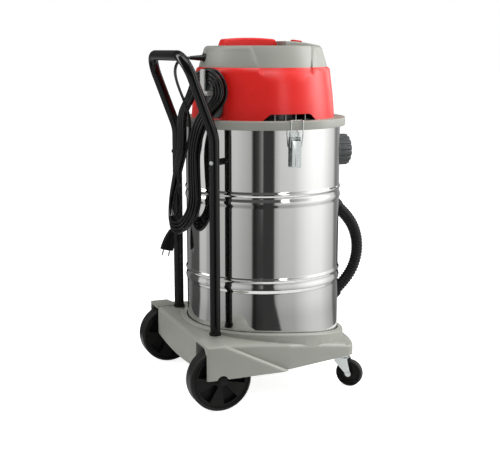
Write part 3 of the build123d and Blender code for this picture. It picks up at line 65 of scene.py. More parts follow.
drum_floor = 0.125
drum_top = 0.751
drum_foot_round = 0.012
bead_proud = 0.0032
bead_starts = (0.294, 0.529)
bead_heights = (0.030, 0.017)
lip_width = 0.007
lip_depth = 0.004
rim_radius = 0.2347
rim_bottom = 0.741
rim_top = 0.764
rim_wall = 0.004
rim_plate = 0.006
rim_opening = 0.198
tube_radius = 0.014
handle_x = 0.1617
handle_y = 0.2056
tube_foot = 0.149
handle_bend_z = 0.725
handle_top_y = 0.285
handle_top_z = 0.935
bend_radius = 0.110
corner_radius = 0.062
rib_edge_radius = 0.1955
rib_top = 0.7865
cord_radius = 0.004
hose_radius = 0.018
hose_bend = 0.143
hose_centre_y = -0.168
hose_centre_z = 0.361
hose_half_angle = math.radians(46)
hose_straight = 0.036

# Finish of the meshes: small rounds, the angle that counts as an edge, and steps round each form
edge_round = 0.0008
edge_angle = math.radians(32)
flat_angle = math.radians(0.1)
lip_round = 0.0015
rim_round = 0.0024
tyre_round = 0.0008
drum_steps = 256
rim_steps = 192
tyre_steps = 144
tube_steps = 40

# Camera, fitted to the drum's rims, the wheels and the handle
camera_place = Vector((-2.5663, 1.0772, 0.9519))
camera_way = Vector((0.92842, -0.37158, 0))
camera_pitch = math.radians(10.28)
camera_lens = 69.85
camera_sensor = 36.0

camera_data = bpy.data.cameras.new("photo_camera")
camera_data.lens = camera_lens
camera_data.sensor_width = camera_sensor
camera = bpy.data.objects.new("photo_camera", camera_data)
bpy.context.collection.objects.link(camera)
camera.location = camera_place
look = camera_way * math.cos(camera_pitch) - Vector((0, 0, math.sin(camera_pitch)))
camera.rotation_mode = "QUATERNION"
camera.rotation_quaternion = look.to_track_quat("-Z", "Y")
bpy.context.scene.camera = camera
bpy.context.scene.view_settings.view_transform = "Standard"


# Meshes
def surface(name, points, close_u=False, close_v=False):
    """Object from a grid of points: each cell is a quad, and a closed direction joins its last row to its
    first. Rows that shrink to one point are merged, so poles are closed."""
    count_u, count_v = points.shape[:2]
    rows = np.arange(count_u if close_u else count_u - 1)
    columns = np.arange(count_v if close_v else count_v - 1)
    u, v = np.meshgrid(rows, columns, indexing="ij")
    next_u = (u + 1) % count_u
    next_v = (v + 1) % count_v
    corners = (u * count_v + v, next_u * count_v + v, next_u * count_v + next_v, u * count_v + next_v)
    quads = np.stack(corners, axis=-1).reshape(-1, 4)
    mesh = bpy.data.meshes.new(name)
    mesh.from_pydata(points.reshape(-1, 3).tolist(), [], quads.tolist())
    form = bmesh.new()
    form.from_mesh(mesh)
    bmesh.ops.remove_doubles(form, verts=form.verts, dist=1e-6)
    bmesh.ops.recalc_face_normals(form, faces=form.faces)
    form.to_mesh(mesh)
    form.free()
    mesh.polygons.foreach_set("use_smooth", np.ones(len(mesh.polygons), bool))
    piece = bpy.data.objects.new(name, mesh)
    bpy.context.collection.objects.link(piece)
    return piece


def revolved(name, profile, steps):
    """Surface of revolution about the drum's axis: each (radius, height) of the profile goes round once."""
    turn = np.linspace(0, 2 * math.pi, steps, endpoint=False)[:, None]
    radius, height = profile[:, 0][None], profile[:, 1][None]
    height = np.broadcast_to(height, (steps, len(profile)))
    points = np.stack((radius * np.cos(turn), drum_y + radius * np.sin(turn), height), axis=-1)
    return surface(name, points, close_u=True)


def rounded(corners, radius, steps=5):
    """Profile with each inner corner replaced by a quadratic curve between points set back on both runs."""
    line = [np.array(corners[0])]
    share = np.linspace(0, 1, steps)[:, None]
    for before, here, after in zip(corners, corners[1:], corners[2:]):
        before, here, after = np.array(before), np.array(here), np.array(after)
        first = here + (before - here) * min(0.49, radius / np.linalg.norm(before - here))
        last = here + (after - here) * min(0.49, radius / np.linalg.norm(after - here))
        line.extend((1 - share) ** 2 * first + 2 * share * (1 - share) * here + share**2 * last)
    line.append(np.array(corners[-1]))
    return np.array(line)


def swept(name, path, normals, ring):
    """Tube along a path: each ring point is set off along the path's normal and its binormal."""
    tangent = np.gradient(path, axis=0)
    tangent /= np.linalg.norm(tangent, axis=1, keepdims=True)
    across = np.cross(tangent, normals)
    across /= np.linalg.norm(across, axis=1, keepdims=True)
    upward = np.cross(across, tangent)
    points = path[:, None] + across[:, None] * ring[None, :, :1] + upward[:, None] * ring[None, :, 1:]
    middle_first = np.repeat(path[:1][:, None], ring.shape[0], axis=1)
    middle_last = np.repeat(path[-1:][:, None], ring.shape[0], axis=1)
    return surface(name, np.concatenate((middle_first, points, middle_last)), close_v=True)


def circle(radius, steps):
    """Ring of points round a tube's section."""
    turn = np.linspace(0, 2 * math.pi, steps, endpoint=False)
    return np.stack((radius * np.cos(turn), radius * np.sin(turn)), axis=-1)


def moulded(name, edge):
    """Smooth copy of a solid: its triangles are merged into flat faces and its edges get a small round."""
    mesh = frame["nodes"][name].data.copy()
    form = bmesh.new()
    form.from_mesh(mesh)
    bmesh.ops.remove_doubles(form, verts=form.verts, dist=2e-6)
    bmesh.ops.dissolve_limit(form, angle_limit=flat_angle, verts=form.verts, edges=form.edges)
    form.to_mesh(mesh)
    form.free()
    mesh.polygons.foreach_set("use_smooth", np.ones(len(mesh.polygons), bool))
    mesh.set_sharp_from_angle(angle=edge_angle)
    piece = bpy.data.objects.new(f"{name}_finish", mesh)
    bpy.context.collection.objects.link(piece)
    if edge:
        bevel = piece.modifiers.new("edge", "BEVEL")
        bevel.width = edge
        bevel.segments = 2
        bevel.limit_method = "ANGLE"
        bevel.angle_limit = edge_angle
        bevel.harden_normals = True
    return piece


def dress(piece, body, material, slot, *nodes):
    """A finished piece: its material, the body it moves with and the solids it stands for. The slot is not
    used.
    """
    piece.data.materials.clear()
    piece.data.materials.append(material)
    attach(piece, body)
    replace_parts(piece, *nodes)


# Materials: cycles to the metre of the tone and of the gloss, and the height of the fine relief
plastic_tone_scale = 14
plastic_gloss_scale = 40
plastic_relief = 0.0002
metal_tone_scale = 30
metal_gloss_scale = 160
metal_relief = 0.0001
rib_edge_blend = 0.0005
rib_grain = 1200


def new_material(name):
    """Empty node material with its surface shader and Object coordinates."""
    material = bpy.data.materials.new(name)
    material.use_nodes = True
    nodes = material.node_tree.nodes
    place = nodes.new("ShaderNodeTexCoord")
    return material, nodes, material.node_tree.links, nodes["Principled BSDF"], place.outputs["Object"]


def noise(nodes, links, place, scale, detail=2.0):
    """Noise over the piece, at a number of cycles to the metre."""
    node = nodes.new("ShaderNodeTexNoise")
    node.inputs["Scale"].default_value = scale
    node.inputs["Detail"].default_value = detail
    links.new(place, node.inputs["Vector"])
    return node.outputs["Fac"]


def spread(nodes, links, value, low, high):
    """Noise stretched to run from low to high."""
    node = nodes.new("ShaderNodeMapRange")
    node.inputs["From Min"].default_value = 0.3
    node.inputs["From Max"].default_value = 0.7
    node.inputs["To Min"].default_value = low
    node.inputs["To Max"].default_value = high
    links.new(value, node.inputs["Value"])
    return node.outputs["Result"]


def tinted(nodes, links, value, first, second):
    """Colour between two tones, by a noise."""
    node = nodes.new("ShaderNodeMix")
    node.data_type = "RGBA"
    node.inputs["A"].default_value = (*first, 1)
    node.inputs["B"].default_value = (*second, 1)
    links.new(value, node.inputs["Factor"])
    return node.outputs["Result"]


def bumped(nodes, links, value, shader, strength, distance):
    """Fine relief on a surface."""
    node = nodes.new("ShaderNodeBump")
    node.inputs["Strength"].default_value = strength
    node.inputs["Distance"].default_value = distance
    links.new(value, node.inputs["Height"])
    links.new(node.outputs["Normal"], shader.inputs["Normal"])


def plastic(name, colour, tone, rough, grain, relief, shine=0.5):
    """Moulded plastic: two close tones, uneven gloss and a fine moulded grain."""
    material, nodes, links, shader, place = new_material(name)
    shader.inputs["Specular IOR Level"].default_value = shine
    patches = noise(nodes, links, place, plastic_tone_scale)
    links.new(tinted(nodes, links, patches, colour, tone), shader.inputs["Base Color"])
    wear = noise(nodes, links, place, plastic_gloss_scale, 4)
    links.new(spread(nodes, links, wear, *rough), shader.inputs["Roughness"])
    bumped(nodes, links, noise(nodes, links, place, grain, 3), shader, relief, plastic_relief)
    return material


def metal(name, colour, tone, rough, grain, relief):
    """Bare or plated metal: fine scratches in its gloss and a slight unevenness."""
    material, nodes, links, shader, place = new_material(name)
    shader.inputs["Metallic"].default_value = 1
    patches = noise(nodes, links, place, metal_tone_scale)
    links.new(tinted(nodes, links, patches, colour, tone), shader.inputs["Base Color"])
    scratches = noise(nodes, links, place, metal_gloss_scale, 5)
    links.new(spread(nodes, links, scratches, *rough), shader.inputs["Roughness"])
    bumped(nodes, links, noise(nodes, links, place, grain, 2), shader, relief, metal_relief)
    return material


def rib_plastic_with_painted_shade(name, colour, tone, inner, rough, relief):
    """Pale moulded plastic with painted shade on the flanks of the vent ribs inside the cover: a near-black
    tone below a height and inside a radius.
    """
    material, nodes, links, shader, place = new_material(name)
    split = nodes.new("ShaderNodeSeparateXYZ")
    links.new(place, split.inputs["Vector"])
    level = nodes.new("ShaderNodeMapping")
    level.inputs["Location"].default_value = (0, -drum_y, 0)
    level.inputs["Scale"].default_value = (1, 1, 0)
    links.new(place, level.inputs["Vector"])
    radius = nodes.new("ShaderNodeVectorMath")
    radius.operation = "LENGTH"
    links.new(level.outputs["Vector"], radius.inputs[0])
    outside = nodes.new("ShaderNodeMapRange")
    outside.inputs["From Min"].default_value = rib_edge_radius - rib_edge_blend
    outside.inputs["From Max"].default_value = rib_edge_radius + rib_edge_blend
    links.new(radius.outputs["Value"], outside.inputs["Value"])
    above = nodes.new("ShaderNodeMath")
    above.operation = "GREATER_THAN"
    above.inputs[1].default_value = rib_top
    links.new(split.outputs["Z"], above.inputs[0])
    unshaded = nodes.new("ShaderNodeMath")
    unshaded.operation = "MAXIMUM"
    links.new(outside.outputs["Result"], unshaded.inputs[0])
    links.new(above.outputs[0], unshaded.inputs[1])
    pale = tinted(nodes, links, noise(nodes, links, place, plastic_tone_scale), colour, tone)
    # Painted shade: below the rib top and inside the rib edge, the ribs take the near-black tone
    both = nodes.new("ShaderNodeMix")
    both.data_type = "RGBA"
    both.inputs["A"].default_value = (*inner, 1)
    links.new(unshaded.outputs[0], both.inputs["Factor"])
    links.new(pale, both.inputs["B"])
    links.new(both.outputs["Result"], shader.inputs["Base Color"])
    wear = noise(nodes, links, place, plastic_gloss_scale, 4)
    links.new(spread(nodes, links, wear, *rough), shader.inputs["Roughness"])
    bumped(nodes, links, noise(nodes, links, place, rib_grain, 3), shader, relief, plastic_relief)
    return material


# Finishes: two tones, the range of roughness, the grain and its strength, and the shine of plastics.
# The pale ribs have a third, near-black tone on their flanks, which is painted shade for the inside of the
# cover, and a grain of their own.
red_plastic = plastic(
    "red_plastic", (0.78, 0.015, 0.011), (0.73, 0.013, 0.010),
    (0.3, 0.36), 900, 0.06, 0.42,
)
grey_plastic = plastic(
    "grey_plastic", (0.30, 0.305, 0.27), (0.285, 0.29, 0.258),
    (0.42, 0.5), 1500, 0.12,
)
black_plastic = plastic(
    "black_plastic", (0.005, 0.005, 0.0045), (0.007, 0.007, 0.0065),
    (0.4, 0.5), 1200, 0.1, 0.16,
)
slate_plastic = plastic(
    "slate_plastic", (0.042, 0.046, 0.047), (0.05, 0.055, 0.056),
    (0.4, 0.5), 1200, 0.1, 0.3,
)
# The vent ribs carry painted shade on their flanks inside the cover
pale_plastic = rib_plastic_with_painted_shade(
    "pale_plastic", (0.46, 0.46, 0.45), (0.42, 0.42, 0.41),
    (0.012, 0.012, 0.012), (0.4, 0.5), 0.1,
)
hose_plastic = plastic(
    "hose_plastic", (0.002, 0.002, 0.002), (0.003, 0.003, 0.003),
    (0.2, 0.28), 900, 0.1, 0.24,
)
cord_rubber = plastic(
    "cord_rubber", (0.003, 0.003, 0.003), (0.005, 0.005, 0.005),
    (0.12, 0.17), 1600, 0.03, 0.34,
)
tyre_rubber = plastic(
    "tyre_rubber", (0.005, 0.005, 0.0045), (0.008, 0.008, 0.007),
    (0.34, 0.44), 700, 0.2, 0.26,
)
black_tube = plastic(
    "black_tube", (0.002, 0.002, 0.002), (0.003, 0.003, 0.003),
    (0.12, 0.16), 500, 0.03, 0.34,
)
polished_steel = metal(
    "polished_steel", (0.72, 0.72, 0.71), (0.7, 0.7, 0.69),
    (0.05, 0.09), 25, 0.015,
)
zinc = metal(
    "zinc", (0.66, 0.70, 0.69), (0.6, 0.64, 0.63),
    (0.16, 0.26), 300, 0.08,
)
cloth = plastic(
    "cloth", (0.6, 0.58, 0.52), (0.54, 0.52, 0.46),
    (0.8, 0.9), 900, 0.6,
)
# Motor metal, darkened as painted shade for the motor inside the cover
shaded_cast_metal = metal(
    "shaded_cast_metal", (0.15, 0.15, 0.155), (0.12, 0.12, 0.125),
    (0.4, 0.5), 500, 0.2,
)


# Cord: one spline through the lead, the hank on its hook and the tail to the plug
hank_turns = 4
hank_step = 0.0093
hank_layer = 0.0106
hank_bow = 2.0
hank_join = 0.034

# One turn of the hank: x, z and y of the inmost strand, how it spreads in x and z, its rise and its bearing
hank_stations = np.array([
    (0.010, 0.693, 0.243, 1.1, 0, 0, 12),
    (0.036, 0.603, 0.248, 1.1, 0, 0, 7),
    (0.066, 0.528, 0.258, 1.1, -0.2, 0, 2),
    (0.030, 0.481, 0.262, 0.45, -1.05, 0, 0),
    (-0.030, 0.481, 0.256, -0.45, -1.05, 0, 0),
    (-0.066, 0.528, 0.250, -1.1, -0.2, 0, 2),
    (-0.036, 0.603, 0.245, -1, 0, 0, 7),
    (-0.010, 0.693, 0.243, -1, 0, 0, 12),
    (-0.027, 0.775, 0.252, -1.1, -0.1, 0.3, 18),
    (-0.044, 0.820, 0.216, -1.1, 0.1, 0.3, 22),
    (-0.026, 0.864, 0.207, -0.6, 1, 0.15, 22),
    (0.026, 0.864, 0.207, 0.6, 1, 0.15, 22),
    (0.044, 0.820, 0.216, 1.1, 0.1, 0.3, 22),
    (0.027, 0.775, 0.252, 1.1, -0.1, 0.3, 18),
])


def round_drum(x, y, z, angle):
    """Points turned about the drum's axis by an angle in degrees, from the rear towards -X."""
    turn = np.radians(angle)
    across = x * np.cos(turn) - y * np.sin(turn)
    along = drum_y + x * np.sin(turn) + y * np.cos(turn)
    return np.stack((across, along, z), axis=-1)


def hank_route():
    """Control points of the hank: it spirals out through the stations in the inner layer, and back in the
    outer one."""
    index = np.arange(2 * hank_turns * len(hank_stations) + 2)
    x, z, y, spread_x, spread_z, rise, angle = hank_stations[index % len(hank_stations)].T
    turn = index / len(hank_stations)
    out = hank_step * (hank_turns - np.abs(turn - hank_turns))
    climb = hank_layer * np.clip((turn - hank_turns) * 2 + 0.5, 0, 1)
    x = x + spread_x * out
    z = z + spread_z * out + climb * rise
    y = y + climb - hank_bow * x * x
    points = round_drum(x, y, z, angle)
    points[-1] = (points[-2] + points[-1]) / 2
    return points


# Lead from the strain relief, by bearing, radius and height, and tail to the plug
relief_end = 0.216
relief_z = 0.928
lead_stops = np.array([
    (1, 0.259, 0.907),
    (3, 0.265, 0.889),
    (6.5, 0.267, 0.867),
    (10.5, 0.267, 0.843),
    (14.5, 0.266, 0.818),
    (17.5, 0.263, 0.793),
    (17.5, 0.257, 0.765),
])
plug_place = np.array((0.080, drum_y + 0.252, 0.437))
plug_neck = 0.020
plug_lean = np.array((0.09, 0.225, -0.97))
plug_lean /= np.linalg.norm(plug_lean)
hank = hank_route()
lead_way = (hank[0] - hank[1]) / np.linalg.norm(hank[0] - hank[1])
tail_way = (hank[-1] - hank[-2]) / np.linalg.norm(hank[-1] - hank[-2])
lead = np.concatenate((
    [
        (0, drum_y + relief_end, relief_z),
        (0, drum_y + relief_end + 0.018, relief_z),
        (0, drum_y + relief_end + 0.033, relief_z - 0.007),
    ],
    round_drum(0, lead_stops[:, 1], lead_stops[:, 2], lead_stops[:, 0]),
    [hank[0] + lead_way * hank_join],
))
tail = np.array([
    hank[-1] + tail_way * hank_join,
    (0.020, drum_y + 0.248, 0.565),
    (0.046, drum_y + 0.236, 0.528),
    (0.066, drum_y + 0.231, 0.492),
    plug_place - plug_lean * plug_neck,
    plug_place,
])


def route_spline(name, points, radius):
    """Smooth cord: a NURBS spline of order 3 with the route's points as its control points."""
    curve = bpy.data.curves.new(name, "CURVE")
    curve.dimensions = "3D"
    spline = curve.splines.new("NURBS")
    spline.points.add(len(points) - 1)
    spline.points.foreach_set("co", np.c_[points, np.ones(len(points))].ravel())
    spline.order_u = 3
    spline.use_endpoint_u = True
    spline.resolution_u = 6
    curve.bevel_depth = radius
    curve.bevel_resolution = 4
    curve.use_fill_caps = True
    piece = bpy.data.objects.new(name, curve)
    bpy.context.collection.objects.link(piece)
    return piece


cord = route_spline("power_cord", np.concatenate((lead, hank, tail)), cord_radius)
dress(cord, "chassis", cord_rubber, "black_rubber", "power_cord_lead", "power_cord_hank", "power_cord_tail")


# Drain hose: a ribbed tube along its own spline, with grooves a little deeper than the solid's
hose_root = 0.0155
hose_ribs = 34
rib_steps = 10
hose_slack = 1.005


def hose_route():
    """Control points of the drain hose: straight out of the spigot, round its bend and into the holder.
    They lie a little outside the bend, because the spline runs inside its points."""
    lean = np.linspace(-hose_half_angle, hose_half_angle, 9)
    reach = hose_bend * hose_slack
    bend_y = drum_y + hose_centre_y - reach * np.cos(lean)
    bend_z = hose_centre_z + reach * np.sin(lean)
    bend = np.stack((0 * lean, bend_y, bend_z), axis=-1)
    way = np.array((0, math.sin(hose_half_angle), math.cos(hose_half_angle)))
    flip = np.array((1, 1, -1))
    first = [bend[0] + way * flip * hose_straight, bend[0] + way * flip * hose_straight * 0.5]
    last = [bend[-1] + way * hose_straight * 0.5, bend[-1] + way * hose_straight]
    return np.concatenate((first, bend, last))


def spline_points(points, count):
    """Points at equal steps along a route's NURBS spline."""
    guide = route_spline("guide", points, 0)
    guide.data.splines[0].resolution_u = 24
    depsgraph = bpy.context.evaluated_depsgraph_get()
    mesh = bpy.data.meshes.new_from_object(guide.evaluated_get(depsgraph))
    line = np.empty(len(mesh.vertices) * 3)
    mesh.vertices.foreach_get("co", line)
    line = line.reshape(-1, 3)
    bpy.data.meshes.remove(mesh)
    bpy.data.objects.remove(guide)
    way = np.concatenate(([0], np.cumsum(np.linalg.norm(np.diff(line, axis=0), axis=1))))
    steps = np.linspace(0, way[-1], count)
    return np.stack([np.interp(steps, way, line[:, axis]) for axis in range(3)], axis=-1), way[-1]


hose_line, hose_length = spline_points(hose_route(), hose_ribs * rib_steps + 1)
beat = np.linspace(0, hose_ribs, len(hose_line)) * 2 * math.pi
swell = hose_root + (hose_radius - hose_root) * np.clip(0.5 + 0.75 * np.sin(beat), 0, 1)
hose_ring = circle(1.0, tube_steps)
hose_tangent = np.gradient(hose_line, axis=0)
hose_tangent /= np.linalg.norm(hose_tangent, axis=1, keepdims=True)
hose_side = np.broadcast_to(np.array((1.0, 0, 0)), hose_line.shape)
hose_up = np.cross(hose_tangent, hose_side)
hose_points = hose_line[:, None] + swell[:, None, None] * (
    hose_side[:, None] * hose_ring[None, :, :1] + hose_up[:, None] * hose_ring[None, :, 1:]
)
hose = surface("drain_hose_finish", hose_points, close_v=True)
dress(hose, "chassis", hose_plastic, "hose_plastic", "drain_hose")


# Drum and rim
def drum_profile():
    """Drum section: flat floor, rounded foot, straight wall with pairs of beads that swell as the square of a
    sine, rolled lip and inner wall."""
    foot = np.linspace(-math.pi / 2, 0, 8)
    foot_radius = drum_radius - drum_foot_round * (1 - np.cos(foot))
    foot_height = drum_floor + drum_foot_round * (1 + np.sin(foot))
    outer = [np.stack((foot_radius, foot_height), axis=-1)]
    for start in bead_starts:
        low = start
        for height in bead_heights:
            share = np.linspace(0, 1, 25)
            swollen = drum_radius + bead_proud * np.sin(math.pi * share) ** 2
            outer.append(np.stack((swollen, low + share * height), axis=-1))
            low += height
    lip = rounded(
        [
            (drum_radius, drum_top - lip_depth - 0.02),
            (drum_radius, drum_top - lip_depth),
            (drum_radius + lip_width, drum_top - lip_depth),
            (drum_radius + lip_width, drum_top),
            (drum_radius - drum_wall, drum_top),
            (drum_radius - drum_wall, drum_floor + drum_wall),
            (0, drum_floor + drum_wall),
        ],
        lip_round,
    )
    return np.concatenate(([(0, drum_floor)], *outer, lip))


drum = revolved("drum_finish", drum_profile(), drum_steps)
dress(drum, "chassis", polished_steel, "polished_steel", "drum")

rim = revolved(
    "head_rim_finish",
    rounded(
        [
            (rim_opening, rim_top - rim_plate / 2),
            (rim_opening, rim_top - rim_plate),
            (rim_radius - rim_wall, rim_top - rim_plate),
            (rim_radius - rim_wall, rim_bottom),
            (rim_radius, rim_bottom),
            (rim_radius, rim_top),
            (rim_opening, rim_top),
            (rim_opening, rim_top - rim_plate / 2),
        ],
        rim_round,
    ),
    rim_steps,
)
dress(rim, "chassis", grey_plastic, "grey_plastic", "head_rim")


# Push handle: a round tube bent out of a sheet that stands straight and then leans to the rear
def handle_path():
    """Tube centre line: a U with round corners, laid on a sheet that is upright, bends and leans back."""
    lean = math.atan2(handle_top_y - handle_y, handle_top_z - handle_bend_z)
    set_back = bend_radius * math.tan(lean / 2)
    straight = handle_bend_z - set_back - tube_foot
    arc = bend_radius * lean
    slant = math.hypot(handle_top_y - handle_y, handle_top_z - handle_bend_z) - set_back
    top = straight + arc + slant
    turn = np.linspace(0, math.pi / 2, 24)
    leg = np.concatenate((
        np.linspace(0, straight, 12),
        straight + np.linspace(0, arc, 24)[1:],
        np.linspace(straight + arc, top - corner_radius, 10)[1:],
    ))
    corner_x = -handle_x + corner_radius * (1 - np.cos(turn))
    corner_s = top - corner_radius + corner_radius * np.sin(turn)
    x = np.concatenate((np.full(len(leg), -handle_x), corner_x[1:]))
    s = np.concatenate((leg, corner_s[1:]))
    x = np.concatenate((x, np.linspace(x[-1], -x[-1], 12)[1:-1], -x[::-1]))
    s = np.concatenate((s, np.full(10, top), s[::-1]))
    bent = np.clip((s - straight) / bend_radius, 0, lean)
    past = np.maximum(s - straight - arc, 0)
    y = handle_y + bend_radius * (1 - np.cos(bent)) + past * math.sin(lean)
    z = tube_foot + np.minimum(s, straight) + bend_radius * np.sin(bent) + past * math.cos(lean)
    normal = np.stack((0 * s, np.cos(bent), -np.sin(bent)), axis=-1)
    return np.stack((x, drum_y + y, z), axis=-1), normal


handle = swept("handle_tube_finish", *handle_path(), circle(tube_radius, tube_steps))
dress(handle, "chassis", black_tube, "black_tube", "handle_tube")


# Tyres: each profile goes round its wheel's own axle. Sizes are radius, depth and width
seat_lift = 0.0001
tyre_sizes = {"rear": (0.086, 0.013, 0.050), "caster": (0.0385, 0.009, 0.023)}


def tyre_profile(radius, depth, width):
    """Section of a tyre, along the axle and out from it: crowned tread, round shoulders, a raised ring and a
    groove on each side, closed by a flat seat."""
    half = width / 2
    seat = radius - depth
    side = [
        (half - 0.0010, seat + seat_lift),
        (half - 0.0012, seat + 0.10 * depth),
        (half - 0.0030, seat + 0.18 * depth),
        (half - 0.0030, seat + 0.26 * depth),
        (half - 0.0004, seat + 0.34 * depth),
        (half, seat + 0.50 * depth),
        (half - 0.06 * depth, seat + 0.66 * depth),
        (half - 0.24 * depth, seat + 0.88 * depth),
        (half - 0.48 * depth, seat + 0.98 * depth),
    ]
    crown = [(0.4 * half, radius), (-0.4 * half, radius)]
    other = [(-along, out) for along, out in reversed(side)]
    foot = (0, seat + seat_lift)
    return rounded([foot, *side, *crown, *other, foot], tyre_round)


def turned_tyre(name, profile, centre, axle, steps):
    """Ring surface: centre + along * axle + out * (cos(t) * u + sin(t) * v), with u and v across the axle."""
    turn = np.linspace(0, 2 * math.pi, steps, endpoint=False)[:, None, None]
    axle = np.array(axle) / np.linalg.norm(axle)
    upward = np.array((0.0, 0.0, 1.0))
    level_way = np.cross(upward, axle)
    along, out = profile[None, :, :1], profile[None, :, 1:]
    points = np.array(centre) + along * axle + out * (np.cos(turn) * level_way + np.sin(turn) * upward)
    return surface(name, points, close_u=True)


for joint in frame["record"]["behaviour"]["joints"]:
    kind = joint["name"].split("_")[0]
    action = joint["name"].split("_")[-1]
    if kind in tyre_sizes and action in ("spin", "roll"):
        hand = joint["child"].split("_")[-1]
        profile = tyre_profile(*tyre_sizes[kind])
        tyre = turned_tyre(f"{kind}_tyre_{hand}_finish", profile, joint["pos_m"], joint["axis"], tyre_steps)
        dress(tyre, joint["child"], tyre_rubber, "tyre_rubber", f"{kind}_tyre_{hand}")

# Moulded and pressed pieces on the solids' own shapes, two of them slightly reshaped
bodies = frame["record"]["behaviour"]["bodies"]
body_of_node = {node: body for body, nodes in bodies.items() for node in nodes}
finishes = {
    "grey_plastic": grey_plastic,
    "polished_steel": polished_steel,
    "red_plastic": red_plastic,
    "switch_red": red_plastic,
    "black_plastic": black_plastic,
    "slate_plastic": slate_plastic,
    "pale_plastic": pale_plastic,
    "hose_plastic": hose_plastic,
    "black_rubber": cord_rubber,
    "tyre_rubber": tyre_rubber,
    "black_tube": black_tube,
    "zinc": zinc,
    "motor_metal": shaded_cast_metal,
    "cloth": cloth,
    "pin_metal": zinc,
}
pocket_radius = 0.2205
pocket_reach = 0.0004
pocket_below = 0.001
pocket_ease = 0.0028
inlet_end = -0.254


def eased_pocket(places):
    """Points of the trolley's round pocket set out along their radius, so that a dark gap rings the drum."""
    radius = np.hypot(places[:, 0], places[:, 1] - drum_y)
    wall = (np.abs(radius - pocket_radius) < pocket_reach) & (places[:, 2] > drum_floor - pocket_below)
    stretch = np.where(wall, 1 + pocket_ease / pocket_radius, 1)[:, None]
    centre = np.array((0, drum_y, 0))
    flat = np.array((1, 1, 0))
    return places + (places - centre) * flat * (stretch - 1)


def drawn_back(places):
    """Points of the inlet's outer end set back along its axis."""
    return np.stack((places[:, 0], np.maximum(places[:, 1], inlet_end), places[:, 2]), axis=-1)


reshaped = {"trolley_base": eased_pocket, "inlet_port": drawn_back}
plain_edged = {"motor_cover"}
done = {node for piece in bpy.data.objects for node in piece.get("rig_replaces", [])}
for entry in frame["record"]["subparts"]:
    node = entry["node"]
    slot = entry["material_slot"]
    if node not in done:
        piece = moulded(node, 0 if node in plain_edged else edge_round)
        dress(piece, body_of_node[node], finishes[slot], slot, node)
        if node in reshaped:
            places = np.empty(len(piece.data.vertices) * 3)
            piece.data.vertices.foreach_get("co", places)
            piece.data.vertices.foreach_set("co", reshaped[node](places.reshape(-1, 3)).ravel())


# Studio: pale floor, soft lamps and a ring of cards that only reflections see
lamp_aim = 0.5
world_fill = 0.35
world_seen = 1.0
floor_half = 30.0
floor_glow = 0.82


def studio_way(angle):
    """Level direction from the drum, at an angle in degrees to the right of the camera."""
    turn = math.radians(angle)
    to_camera = -camera_way
    to_right = Vector((camera_way.y, -camera_way.x, 0))
    return to_camera * math.cos(turn) + to_right * math.sin(turn)


def lamp(name, angle, distance, height, width, tall, power):
    """Soft area lamp that faces the middle of the object."""
    data = bpy.data.lights.new(name, "AREA")
    data.shape = "RECTANGLE"
    data.size = width
    data.size_y = tall
    data.energy = power
    lit = bpy.data.objects.new(name, data)
    bpy.context.collection.objects.link(lit)
    lit.location = Vector((0, drum_y, height)) + studio_way(angle) * distance
    lit.rotation_mode = "QUATERNION"
    lit.rotation_quaternion = (Vector((0, drum_y, lamp_aim)) - lit.location).to_track_quat("-Z", "Y")


lamp("key_lamp", angle=100, distance=2.6, height=1.7, width=1.6, tall=2.0, power=84)
lamp("top_lamp", angle=0, distance=1.0, height=3.2, width=2.2, tall=2.2, power=44)
lamp("fill_lamp", angle=-85, distance=2.8, height=1.5, width=1.6, tall=2.0, power=27)

world = bpy.data.worlds.new("studio")
bpy.context.scene.world = world
world.use_nodes = True
nodes, links = world.node_tree.nodes, world.node_tree.links
sky = nodes["Background"]
light_path = nodes.new("ShaderNodeLightPath")
seen = nodes.new("ShaderNodeMath")
seen.operation = "MAXIMUM"
links.new(light_path.outputs["Is Camera Ray"], seen.inputs[0])
links.new(light_path.outputs["Is Glossy Ray"], seen.inputs[1])
level = nodes.new("ShaderNodeMapRange")
level.inputs["To Min"].default_value = world_fill
level.inputs["To Max"].default_value = world_seen
links.new(seen.outputs[0], level.inputs["Value"])
sky.inputs["Color"].default_value = (1, 1, 1, 1)
links.new(level.outputs["Result"], sky.inputs["Strength"])

floor_rows = [[(x, y, 0) for y in (-floor_half, floor_half)] for x in (-floor_half, floor_half)]
floor = surface("floor", np.array(floor_rows))
floor_material, nodes, links, shader, place = new_material("pale_floor")
shader.inputs["Base Color"].default_value = (0.86, 0.86, 0.86, 1)
shader.inputs["Roughness"].default_value = 0.9
shader.inputs["Specular IOR Level"].default_value = 0.0
shader.inputs["Emission Color"].default_value = (1, 1, 1, 1)
floor_path = nodes.new("ShaderNodeLightPath")
glow = nodes.new("ShaderNodeMapRange")
glow.inputs["To Max"].default_value = floor_glow
links.new(floor_path.outputs["Is Camera Ray"], glow.inputs["Value"])
links.new(glow.outputs["Result"], shader.inputs["Emission Strength"])
floor.data.materials.append(floor_material)

# Ring of studio cards: bands of light and shade that the polished drum mirrors, dimmer towards the floor
card_floor_radius = 0.62
card_radius = 1.05
card_foot = 0.002
card_height = 2.6
dim_from = -0.2
dim_to = 0.62
dim_low = 0.56
dim_high = 1.05
wedge_top = 0.1
wedge_bottom = -0.4
wedge_narrow = math.radians(14)
wedge_wide = math.radians(25)
wedge_soft = math.radians(3)
wedge_tone = 0.045
streak_half = math.radians(6)
streak_from = 0.28
streak_to = 0.5
streak_tone = 0.24
card_top = 2

